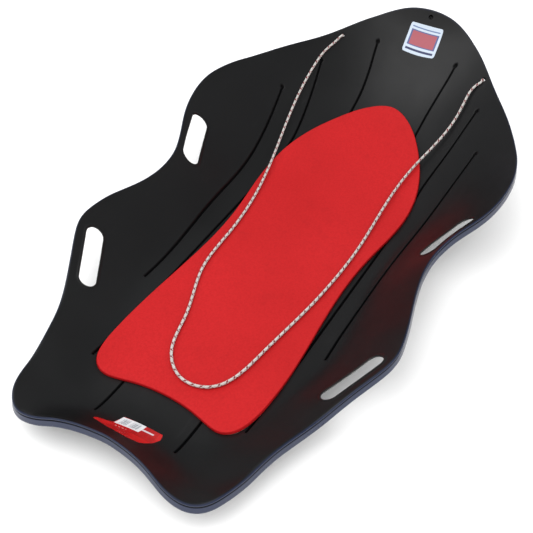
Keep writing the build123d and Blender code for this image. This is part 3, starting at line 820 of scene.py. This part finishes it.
def plastic():
    m = Material("black_polyethylene")
    black, charcoal = (0.0072, 0.0078, 0.0086), (0.0105, 0.0110, 0.0120)
    scuffed, painted_reflection_blue, painted_shade_black = (0.024, 0.025, 0.027), (0.011, 0.021, 0.066), (0.0008, 0.0008, 0.001)
    painted_reflection = m.attribute("painted_reflection")
    broad = m.noise(scale=3.0, detail=3.0)
    tone = m.mix(m.remap(broad, span=(.35, .65)), black, charcoal)
    streak = m.noise(scale=60, detail=4.0, rough=0.6, coords=m.scaled_coords((0.25, 2.2, 1.0)))
    tone = m.mix(m.remap(streak, span=(.62, .78), to=(0, 0.35)), tone, scuffed)
    # Blue reflection painted onto the rounded edge and the skirt
    tone = m.mix(painted_reflection, tone, painted_reflection_blue)
    # Near-black shade painted into the grooves, the seam under the rounded edge and the holes
    dark = m.attribute("dark")
    m.set(Base_Color=m.mix(dark, tone, painted_shade_black))
    # Patchy, rougher on the streaks and glossier under the painted reflection; the painted shade
    # barely shines
    patch = m.noise(scale=14, detail=3.0)
    rough = m.math("ADD", m.remap(patch, span=(.3, .7), to=(0.33, 0.42)),
                   m.remap(streak, span=(.6, .8), to=(0, .07)))
    m.set(Roughness=m.math("SUBTRACT", rough, m.times(painted_reflection, 0.08)))
    m.set(Specular_IOR_Level=m.math("SUBTRACT", 0.44, m.times(dark, 0.42)))
    grain = m.noise(scale=1500, detail=2.0, rough=0.6)
    wave = m.noise(scale=22)
    m.bump(m.math("ADD", m.times(grain, 0.00006), m.times(wave, 0.0007)), strength=0.55)
    return m.material


def foam():
    m = Material("red_closed_cell_foam")
    voronoi = m.node("ShaderNodeTexVoronoi", feature="SMOOTH_F1")
    voronoi.inputs["Scale"].default_value = 900
    m.put(voronoi.inputs["Vector"], m.object_coords)
    cells = voronoi.outputs["Distance"]
    broad = m.noise(scale=5, detail=3.0)
    fine = m.noise(scale=240, detail=4.0, rough=0.65)
    red, light_red = srgb(203, 18, 22), srgb(212, 23, 28)
    fine_red, blot_red, cell_red = srgb(172, 10, 16), srgb(176, 12, 18), srgb(160, 16, 22)
    tone = m.mix(m.remap(broad, span=(.35, .65)), red, light_red)
    tone = m.mix(m.remap(fine, span=(.40, .70), to=(0, 0.42)), tone, fine_red)
    blot = m.noise(scale=28, detail=4.0, rough=0.7)
    tone = m.mix(m.remap(blot, span=(.56, .74), to=(0, 0.30)), tone, blot_red)
    tone = m.mix(m.remap(cells, span=(0.1, 0.5), to=(0.0, 0.14)), tone, cell_red)
    m.set(Base_Color=tone, Roughness=m.remap(fine, span=(.3, .7), to=(.58, .70)),
          Specular_IOR_Level=0.18)
    m.bump(m.math("ADD", m.times(cells, -0.00022), m.times(fine, 0.00030)), strength=0.5)
    return m.material


def adhesive():
    m = Material("adhesive_film")
    dull, pale = (0.62, 0.58, 0.46), (0.70, 0.67, 0.56)
    mottle = m.noise(scale=80, detail=3.0)
    m.set(Base_Color=m.mix(mottle, dull, pale), Roughness=0.45)
    m.bump(m.times(mottle, 0.0003), strength=0.4)
    return m.material


def cord(name, base, dark):
    m = Material(name)
    grime = (0.33, 0.30, 0.27)
    fibre = m.noise(scale=1400, detail=3.0, rough=0.6, coords=m.scaled_coords((1.0, 1.0, 1.0)))
    broad = m.noise(scale=40, detail=3.0)
    tone = m.mix(m.remap(fibre, span=(.35, .7)), base, dark)
    tone = m.mix(m.remap(broad, span=(.45, .7), to=(0, .22)), tone, grime)
    m.set(Base_Color=tone, Roughness=0.78, Specular_IOR_Level=0.25, Sheen_Weight=0.25)
    m.bump(m.times(fibre, 0.0004), strength=0.6)
    return m.material


def nose_print():
    """Pale vinyl with a framed panel, a bar behind it and a thin rule ahead of it.
    u runs left to right and v towards the nose, both as fractions of the print."""
    m = Material("nose_sticker_print")
    art = m.attribute_uv("art")
    pale, frame, panel = (0.66, 0.77, 0.90), (0.10, 0.13, 0.32), (0.47, 0.10, 0.13)
    navy, rule = (0.030, 0.042, 0.135), (0.16, 0.24, 0.45)
    full_width = (0.075, 0.925)
    tone = m.mix(0.0, pale, pale)
    for u, v, colour in ((full_width, (0.265, 0.80), frame),
                         ((0.125, 0.875), (0.300, 0.765), panel),
                         (full_width, (0.095, 0.175), navy),
                         (full_width, (0.865, 0.900), rule)):
        tone = m.mix(m.box(art, u, v), tone, colour)
    m.set(Base_Color=tone, Roughness=0.24, Specular_IOR_Level=0.5)
    m.bump(m.times(m.noise(scale=30), 0.0005), strength=0.4)
    return m.material


def tail_print():
    """Red vinyl with a white patch of plain bars and a pale stripe.
    u runs left to right and v towards the nose, in millimetres."""
    m = Material("tail_label_print")
    art = m.attribute_uv("art")
    u, v = art
    tone = m.mix(m.remap(m.noise(scale=45, detail=3.0), span=(.4, .65)),
                 srgb(205, 30, 30), srgb(180, 20, 24))
    panel_red, stripe, short_stripe = srgb(120, 8, 12), (0.72, 0.62, 0.66), (0.65, 0.45, 0.45)
    fold_red, dash_pink = srgb(130, 10, 14), (0.75, 0.30, 0.28)
    # Fine dark rules across the right-hand end, 0.42 to the millimetre
    rules = m.math("FRACT", m.times(v, 0.42))
    end = m.box(art, u=(66, 104), v=(3, 40), soft=0.4)
    tone = m.mix(m.times(end, m.remap(rules, span=(.45, .6), to=(0.0, 0.55))), tone, panel_red)
    tone = m.mix(m.box(art, u=(72, 97), v=(22, 25.5), soft=0.5), tone, stripe)
    tone = m.mix(m.box(art, u=(63, 69), v=(22.5, 24.5), soft=0.4), tone, short_stripe)
    tone = m.mix(m.box(art, u=(2, 62), v=(10.0, 10.9), soft=0.5), tone, fold_red)
    # A dashed line, 0.16 dashes to the millimetre
    dashes = m.remap(m.math("FRACT", m.times(u, 0.16)), span=(.5, .62), to=(1, 0))
    dash_line = m.box(art, u=(36, 58), v=(5.0, 7.0), soft=0.4)
    tone = m.mix(m.times(dash_line, dashes), tone, dash_pink)
    # White patch, in fractions of its own size, with two blocks of uneven bars
    patch = m.attribute_uv("code")
    white, bar_grey, line_grey = (0.80, 0.80, 0.83), (0.16, 0.19, 0.23), (0.30, 0.32, 0.36)
    tone = m.mix(m.box(patch, u=(0, 1), v=(0, 1), soft=0.012), tone, white)
    stripes = m.node("ShaderNodeTexNoise", noise_dimensions="1D")
    stripes.inputs["Scale"].default_value = 1.0
    stripes.inputs["Detail"].default_value = 1.0
    m.put(stripes.inputs["W"], m.times(patch[0], 30.0))
    bars = m.remap(stripes.outputs[0], span=(.47, .51), to=(0, 0.8))
    for block in ((0.14, 0.42), (0.52, 0.86)):
        tone = m.mix(m.times(m.box(patch, u=block, v=(0.16, 0.80), soft=0.01), bars),
                     tone, bar_grey)
        tone = m.mix(m.times(m.box(patch, u=block, v=(0.84, 0.90), soft=0.01), 0.5),
                     tone, line_grey)
    m.set(Base_Color=tone, Roughness=0.26, Specular_IOR_Level=0.5)
    m.bump(m.times(m.noise(scale=35), 0.0006), strength=0.4)
    return m.material


def studio_floor():
    m = Material("studio_floor", dim=1.0)
    m.set(Base_Color=(0.90, 0.90, 0.90), Roughness=0.75, Specular_IOR_Level=0.2)
    return m.material


# ---------------------------------------------------------------------------
# Shell, pad and stickers
# ---------------------------------------------------------------------------
# Sticker corners (x, y)
NOSE_STICKER = [(591.0, 38.0), (592.0, -38.0), (548.5, -39.0), (547.5, 37.5)]
TAIL_LABEL = [(-543, 64), (-551, 25), (-553, -10), (-547, -32), (-530, -42.5), (-514, -47),
              (-502, -43), (-503.5, -5), (-506.5, 31.0), (-529.2, 34.0), (-533.5, 45), (-537, 62)]
# Nose print: y of its left edge, width, x of its rear edge, length
NOSE_PRINT = (38.0, 77.0, 547.8, 43.8)
# Tail print: origin, and how far its axes lean from -y and +x
TAIL_PRINT_ORIGIN, TAIL_PRINT_LEAN = (-545.0, 62.0), 0.10
# White patch on the tail print: origin, corner along u, corner along v
PATCH_CORNERS = ((-529.4, 32.8), (-523.5, -10.6), (-507.6, 31.5))


def attach(obj, replaced):
    """Fix a piece to the sled in place of a CAD piece."""
    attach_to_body(obj, "sled")
    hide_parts(replaced)


def nose_art(plan):
    left, width, rear, length = NOSE_PRINT
    return np.c_[(left - plan[:, 1]) / width, (plan[:, 0] - rear) / length]


def tail_art(plan):
    lean = TAIL_PRINT_LEAN
    axes = np.array([[lean, -1.0], [1.0, lean]]) / math.hypot(lean, 1.0)
    return (plan - np.array(TAIL_PRINT_ORIGIN)) @ axes.T


def patch_art(plan):
    origin, u_corner, v_corner = np.array(PATCH_CORNERS)
    basis = np.linalg.inv(np.stack([u_corner - origin, v_corner - origin], 1))
    return (plan - origin) @ basis.T


shell = build_shell()
shell.data.materials.append(plastic())
attach(shell, "sled_shell")

pad_loop = resample(loop_from_half(PAD_OUTLINE), 4.0, closed=True)
pad = build_sheet("foam_pad_sheet", pad_loop, low=0.55, high=7.0, edge=1.7, step=7.5,
                  wave=pad_wave, bulge=0.25)
pad.data.materials.append(foam())
attach(pad, "foam_pad")

glue = build_sheet("pad_adhesive_film", pad_loop + inward(pad_loop) * 0.6,
                   low=0.06, high=0.45, edge=0.1, step=9.0)
glue.data.materials.append(adhesive())
attach(glue, "pad_adhesive")

sticker = build_sheet("nose_sticker_sheet", rounded(NOSE_STICKER, radius=5.0),
                      low=0.06, high=0.28, edge=0.08, step=3.0)
add_print_coords(sticker, "art", nose_art)
sticker.data.materials.append(nose_print())
attach(sticker, "nose_sticker")

label = build_sheet("tail_label_sheet", rounded(TAIL_LABEL, radius=2.5),
                    low=0.06, high=0.30, edge=0.08, step=2.6)
add_print_coords(label, "art", tail_art)
add_print_coords(label, "code", patch_art)
label.data.materials.append(tail_print())
attach(label, "tail_label")

# ---------------------------------------------------------------------------
# Rope
# ---------------------------------------------------------------------------
# Rope centreline from the left hole, round the back, to the right hole: (x, y, z)
ROPE_PATH = [
    (504.4, 169.8, 159.8), (493.2, 173.9, 154.1), (482.3, 178.3, 149.0), (471.5, 182.6, 144.2),
    (460.4, 186.3, 139.1), (449.0, 188.9, 133.4), (437.0, 190.4, 127.1), (425.1, 191.5, 120.8),
    (413.1, 192.2, 114.5), (401.1, 192.5, 108.4), (389.1, 192.5, 102.3), (377.1, 192.2, 96.3),
    (365.1, 191.5, 90.4), (353.1, 190.6, 84.6), (341.1, 189.4, 79.1), (329.2, 188.0, 73.7),
    (317.3, 186.4, 68.5), (305.5, 184.5, 63.6), (293.6, 182.5, 58.9), (281.8, 180.3, 54.5),
    (270.0, 178.0, 50.3), (258.3, 175.5, 46.5), (246.5, 172.9, 43.0), (234.8, 170.2, 39.8),
    (223.1, 167.5, 36.9), (211.5, 164.7, 34.4), (199.8, 161.9, 32.1), (188.1, 159.0, 30.1),
    (176.5, 156.2, 28.3), (164.8, 153.3, 26.8), (153.1, 150.5, 25.5), (141.4, 147.8, 24.4),
    (129.7, 145.1, 23.5), (118.0, 142.5, 22.7), (106.2, 139.9, 22.0), (94.5, 137.5, 21.5),
    (82.7, 135.2, 21.1), (70.9, 133.1, 20.7), (59.0, 131.0, 20.4), (47.2, 129.1, 20.2),
    (35.3, 127.3, 20.1), (23.4, 125.6, 19.9), (11.5, 124.2, 19.8), (-0.4, 122.8, 19.8),
    (-12.4, 121.6, 19.7), (-24.4, 120.6, 19.6), (-36.3, 119.8, 19.6), (-48.3, 119.1, 19.6),
    (-60.3, 118.6, 19.6), (-72.3, 118.2, 19.6), (-84.3, 117.7, 19.5), (-96.3, 117.2, 19.5),
    (-108.3, 116.5, 19.5), (-120.3, 115.5, 19.5), (-132.2, 114.1, 19.5), (-144.1, 112.3, 19.5),
    (-155.9, 109.9, 19.5), (-167.5, 106.9, 19.5), (-179.0, 103.4, 19.5), (-190.3, 99.5, 19.5),
    (-201.6, 95.3, 19.5), (-212.8, 90.9, 19.5), (-223.9, 86.4, 19.5), (-235.1, 82.0, 19.5),
    (-246.3, 77.7, 19.5), (-257.6, 73.7, 19.5), (-269.0, 69.9, 19.5), (-280.6, 66.7, 19.5),
    (-292.2, 63.8, 19.5), (-303.9, 61.1, 19.5), (-315.6, 58.2, 19.5), (-327.2, 54.9, 19.5),
    (-338.5, 50.9, 19.5), (-349.4, 46.0, 19.5), (-359.7, 39.8, 19.5), (-369.3, 32.6, 19.5),
    (-377.9, 24.2, 19.5), (-385.3, 14.8, 19.5), (-391.3, 4.4, 19.5), (-395.3, -6.9, 19.5),
    (-396.9, -18.8, 19.5), (-396.1, -30.8, 19.5), (-393.1, -42.4, 19.5), (-387.9, -53.2, 19.5),
    (-380.3, -62.5, 19.5), (-371.1, -70.1, 19.5), (-360.6, -76.0, 19.5), (-349.5, -80.6, 19.5),
    (-338.0, -84.1, 19.5), (-326.3, -86.8, 19.5), (-314.5, -89.0, 19.5), (-302.6, -90.7, 19.5),
    (-290.7, -92.3, 19.5), (-278.8, -93.7, 19.5), (-266.9, -95.1, 19.5), (-255.0, -96.7, 19.5),
    (-243.1, -98.3, 19.5), (-231.2, -99.9, 19.5), (-219.3, -101.6, 19.5), (-207.4, -103.2, 19.5),
    (-195.5, -104.9, 19.5), (-183.6, -106.5, 19.5), (-171.7, -108.0, 19.5), (-159.7, -109.5, 19.5),
    (-147.8, -110.9, 19.5), (-135.9, -112.2, 19.5), (-123.9, -113.4, 19.5), (-112.0, -114.5, 19.5),
    (-100.0, -115.5, 19.5), (-88.0, -116.4, 19.5), (-76.0, -117.1, 19.5), (-64.0, -117.8, 19.5),
    (-52.0, -118.4, 19.5), (-40.0, -118.9, 19.6), (-28.0, -119.2, 19.6), (-16.0, -119.5, 19.6),
    (-4.0, -119.6, 19.6), (8.0, -119.6, 19.6), (20.0, -119.5, 19.7), (32.0, -119.3, 19.7),
    (44.0, -118.9, 19.8), (56.0, -118.4, 19.9), (68.0, -117.8, 20.0), (80.0, -117.1, 20.1),
    (92.0, -116.3, 20.4), (104.0, -115.4, 20.7), (115.9, -114.6, 21.0), (127.9, -113.7, 21.5),
    (139.9, -112.9, 22.1), (151.9, -112.1, 22.8), (163.9, -111.4, 23.6), (175.9, -110.8, 24.6),
    (187.9, -110.4, 25.8), (199.9, -110.1, 27.1), (211.9, -110.0, 28.7), (223.9, -110.1, 30.4),
    (235.9, -110.5, 32.3), (247.9, -111.2, 34.5), (259.9, -112.1, 36.9), (271.8, -113.4, 39.5),
    (283.7, -115.0, 42.3), (295.6, -117.0, 45.4), (307.3, -119.3, 48.8), (319.0, -122.1, 52.5),
    (330.7, -125.1, 56.5), (342.2, -128.4, 60.8), (353.7, -131.8, 65.5), (365.2, -135.2, 70.6),
    (376.8, -138.6, 76.1), (388.4, -141.7, 82.0), (400.0, -144.6, 88.2), (411.8, -147.1, 94.9),
    (423.6, -149.1, 101.9), (435.6, -150.4, 109.2), (447.5, -151.1, 116.9), (459.5, -151.6, 124.8),
    (471.0, -151.8, 132.2), (481.9, -152.8, 139.1), (491.9, -155.9, 145.9), (500.5, -162.4, 153.4),
    (504.2, -166.8, 158.0)]
ROPE_STEP = 1.5
CORE_RADIUS = 1.75
BRAID_RADIUS, BRAID_WEAVE = 1.98, 0.34      # strand centres, and how far they weave in and out
STRANDS, PITCH = 4, 15.0                    # strands each way round, length of one turn
STRAND_HALF_WIDTH, STRAND_HALF_THICK = 1.02, 0.55
TRACERS = ((1, 0), (-1, 2))                 # red strands: direction, number
FRONT_END_X, MID_END_X = 360, 54            # where the front and middle lengths end
KNOT_SIZE, KNOT_SPREAD, KNOT_DEPTH = 2.05, 0.78, 1.1


def smooth_path(points):
    """Even rope stations along a smooth curve through uneven points."""
    points = np.asarray(points, float)
    gaps = np.linalg.norm(np.diff(points, axis=0), axis=1)
    knots = np.r_[0, np.cumsum(np.sqrt(gaps))]
    return even_points(spline(knots, points)(np.linspace(0, knots[-1], 12000)), ROPE_STEP)


def path_axes(path):
    """Tangent and two cross axes that follow the path without twisting."""
    t = unit_rows(np.gradient(path, axis=0))
    r = np.zeros_like(path)
    first = np.cross(t[0], [0, 0, 1.0])
    if np.linalg.norm(first) < 1e-3:  # the path starts upright
        first = np.cross(t[0], [0, 1.0, 0])
    r[0] = first / np.linalg.norm(first)
    for i in range(len(path) - 1):
        # Two reflections carry the cross axis to the next station
        v1 = path[i + 1] - path[i]
        c1 = v1 @ v1
        r_mirror = r[i] - (2 / c1) * (v1 @ r[i]) * v1
        t_mirror = t[i] - (2 / c1) * (v1 @ t[i]) * v1
        v2 = t[i + 1] - t_mirror
        c2 = v2 @ v2
        r[i + 1] = r_mirror - (2 / c2) * (v2 @ r_mirror) * v2 if c2 > 1e-12 else r_mirror
        r[i + 1] -= (r[i + 1] @ t[i + 1]) * t[i + 1]
        r[i + 1] /= np.linalg.norm(r[i + 1])
    return t, r, np.cross(t, r)


def rope_piece(name, path, along, axes, materials):
    """Braided rope: a core tube and strands wound both ways round it."""
    t, r, b = axes
    n = len(path)
    vertices, faces, face_materials = [], [], []

    def tube(centre, x_axis, y_axis, x_radius, y_radius, sides, material):
        base = sum(len(v) for v in vertices)
        a = np.linspace(0, 2 * math.pi, sides, endpoint=False)
        ring = (centre[:, None, :] + x_radius * np.cos(a)[None, :, None] * x_axis[:, None, :]
                + y_radius * np.sin(a)[None, :, None] * y_axis[:, None, :])
        vertices.append(ring.reshape(-1, 3))
        ids = (base + np.arange(n * sides).reshape(n, sides)).tolist()
        for i in range(n - 1):
            for j in range(sides):
                k = (j + 1) % sides
                faces.append((ids[i][j], ids[i][k], ids[i + 1][k], ids[i + 1][j]))
        faces.append(tuple(ids[0][::-1]))
        faces.append(tuple(ids[-1]))
        face_materials.extend([material] * ((n - 1) * sides + 2))
        return np.repeat(along, sides)

    lengths = [tube(path, r, b, CORE_RADIUS, CORE_RADIUS, sides=10, material=0)]
    for sign in (1, -1):
        for k in range(STRANDS):
            angle = sign * (2 * math.pi * along / PITCH) + k * 2 * math.pi / STRANDS
            weave = sign * BRAID_WEAVE * np.cos(2 * STRANDS * math.pi * along / PITCH)
            radius = BRAID_RADIUS + weave
            outward = r * np.cos(angle)[:, None] + b * np.sin(angle)[:, None]
            turning = -r * np.sin(angle)[:, None] + b * np.cos(angle)[:, None]
            run = unit_rows(t + turning * (sign * 2 * math.pi * BRAID_RADIUS / PITCH))
            lengths.append(tube(path + outward * radius[:, None], np.cross(run, outward), outward,
                                STRAND_HALF_WIDTH, STRAND_HALF_THICK, sides=7,
                                material=int((sign, k) in TRACERS)))
    mesh = bpy.data.meshes.new(name)
    mesh.from_pydata((np.vstack(vertices) * MM).tolist(), [], faces)
    mesh.polygons.foreach_set("use_smooth", [True] * len(mesh.polygons))
    for material in materials:
        mesh.materials.append(material)
    mesh.polygons.foreach_set("material_index", face_materials)
    add_attribute(mesh, "along", np.concatenate(lengths))
    mesh.update()
    obj = add_object(name, mesh)
    face_outward(mesh)
    return obj


def hole_frame(side):
    """Rope hole on one side: centre, deck normal and a direction back and inward."""
    x, y = ROPE_HOLE[0], side * ROPE_HOLE[1]
    normal = deck_normal(x, y)
    inner = np.array([-0.65, -0.76 * side, 0.0])
    inner -= normal * (inner @ normal)
    return np.array([x, y, float(deck(x, y))]), normal, inner / np.linalg.norm(inner)


def through_hole(side):
    """Points from the knot, up through the hole, to just before the laid rope."""
    p, n, inner = hole_frame(side)
    up = np.array([0.0, 0.0, 1.0])
    return [p - n * 8.6 + inner * 3.2, p - up * 6.4 - n * 0.6 + inner * 0.5,
            p - up * 2.6, p + n * 1.6 + inner * 0.6]


def knot_path(side):
    """An overhand turn under the hole, with a short loose end."""
    p, n, inner = hole_frame(side)
    centre = p - n * (SKIN + 7.2) + inner * 6.2
    t = np.linspace(0, 2 * math.pi, 121)
    x, y = np.sin(t) + 2 * np.sin(2 * t), np.cos(t) - 2 * np.cos(2 * t)
    z = -1.25 * np.sin(3 * t)
    flat = x[:, None] * inner + y[:, None] * np.cross(n, inner)
    knot = centre + KNOT_SIZE * KNOT_SPREAD * flat + KNOT_SIZE * KNOT_DEPTH * z[:, None] * n
    knot = knot[8:-7]
    loose = [knot[-1] + (inner * 0.8 - n * 0.6) * distance for distance in (5, 11, 17)]
    return smooth_path(np.vstack([knot[::4], loose]))


rope = smooth_path(np.vstack([through_hole(1), ROPE_PATH, through_hole(-1)[::-1]]))
rope_along = arc_length(rope)
rope_axes = path_axes(rope)
rear = int(np.argmin(rope[:, 0]))


def station(x, side):
    """First rope station behind x, going back from the hole on one side."""
    ids = np.arange(0, rear) if side > 0 else np.arange(len(rope) - 1, rear, -1)
    return int(ids[np.argmax(rope[ids, 0] < x)])


CORD = [cord("cord_white", base=(0.80, 0.77, 0.74), dark=(0.58, 0.55, 0.52)),
        cord("cord_tracer", base=(0.34, 0.05, 0.06), dark=(0.20, 0.02, 0.03))]
front_left, front_right = station(FRONT_END_X, 1), station(FRONT_END_X, -1)
mid_left, mid_right = station(MID_END_X, 1), station(MID_END_X, -1)
# Blends: the two parts followed, and the points (metres) where the change starts and ends
FRONT_BLEND = ("sled", "rope_front", (0.512, 0.0, 0.158), (0.494, 0.0, 0.151))
MID_BLEND = ("rope_front", "rope_mid", (0.206, 0.0, 0.0), (0.182, 0.0, 0.0))
REAR_BLEND = ("rope_mid", "rope_back", (-0.098, 0.0, 0.0), (-0.122, 0.0, 0.0))
for part, start, end, blend in (
        ("front_left", 0, front_left, FRONT_BLEND),
        ("mid_left", front_left, mid_left, MID_BLEND),
        ("rear", mid_left, mid_right, REAR_BLEND),
        ("mid_right", mid_right, front_right, MID_BLEND),
        ("front_right", front_right, len(rope) - 1, FRONT_BLEND)):
    span = slice(start, end + 1)
    piece = rope_piece("cord_" + part, rope[span], rope_along[span],
                       [axis[span] for axis in rope_axes], CORD)
    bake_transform(piece)
    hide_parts("rope_" + part)

for side, name in ((1, "left"), (-1, "right")):
    path = knot_path(side)
    knot = rope_piece("cord_knot_" + name, path, arc_length(path), path_axes(path), CORD)
    attach(knot, "rope_end_" + name)

# ---------------------------------------------------------------------------
# Room, light and camera (metres)
# ---------------------------------------------------------------------------
FLOOR_HALF_SIZE, FLOOR_Z = 6, -0.0004
LIGHT_TARGET = (0.0, 0.0, 0.05)
# World brightness, and the dimmer one seen in reflections
WORLD_LIGHT, WORLD_REFLECTED = 1.45, 0.20
CAMERA_PLACE = (-1.135875, -0.592385, 1.233641)
CAMERA_RIGHT = (0.511355, -0.859237, 0.015109)
CAMERA_UP = (0.604643, 0.372222, 0.704172)
CAMERA_FORWARD = (0.610675, 0.350946, -0.709869)


def build_floor():
    s, z = FLOOR_HALF_SIZE, FLOOR_Z
    mesh = bpy.data.meshes.new("floor")
    mesh.from_pydata([(-s, -s, z), (s, -s, z), (s, s, z), (-s, s, z)], [], [(0, 1, 2, 3)])
    floor = add_object("floor", mesh)
    mesh.materials.append(studio_floor())


def build_world():
    world = bpy.data.worlds.new("studio")
    scene.world = world
    world.use_nodes = True
    tree = world.node_tree
    background = tree.nodes["Background"]
    background.inputs[0].default_value = (1, 1, 1, 1)
    ray = tree.nodes.new("ShaderNodeLightPath")
    level = tree.nodes.new("ShaderNodeMapRange")
    level.inputs["To Min"].default_value = WORLD_LIGHT
    level.inputs["To Max"].default_value = WORLD_REFLECTED
    tree.links.new(ray.outputs["Is Glossy Ray"], level.inputs["Value"])
    tree.links.new(level.outputs[0], background.inputs[1])


def lamp(name, place, size, power):
    light = bpy.data.lights.new(name, "AREA")
    light.shape = "DISK"
    light.size = size
    light.energy = power
    obj = add_object(name, light)
    obj.location = place
    aim = Vector(LIGHT_TARGET) - Vector(place)
    obj.rotation_euler = aim.to_track_quat("-Z", "Y").to_euler()


def build_camera():
    camera = bpy.data.cameras.new("camera")
    camera.lens = 60.7879925
    camera.sensor_width = 36.0
    camera.clip_start, camera.clip_end = 0.05, 50
    obj = add_object("camera", camera)
    right, up, forward = (Vector(v) for v in (CAMERA_RIGHT, CAMERA_UP, CAMERA_FORWARD))
    turn = Matrix((right, up, -forward)).transposed()
    obj.matrix_world = Matrix.Translation(Vector(CAMERA_PLACE)) @ turn.to_4x4()
    scene.camera = obj


build_floor()
build_world()
lamp("key", place=(-0.9, 1.2, 2.9), size=3.4, power=40)
lamp("fill", place=(-2.2, -1.6, 2.2), size=2.4, power=12)
scene.view_settings.view_transform = "Standard"
scene.view_settings.look = "None"
scene.view_settings.exposure = 0.0
scene.view_settings.gamma = 1.0
build_camera()
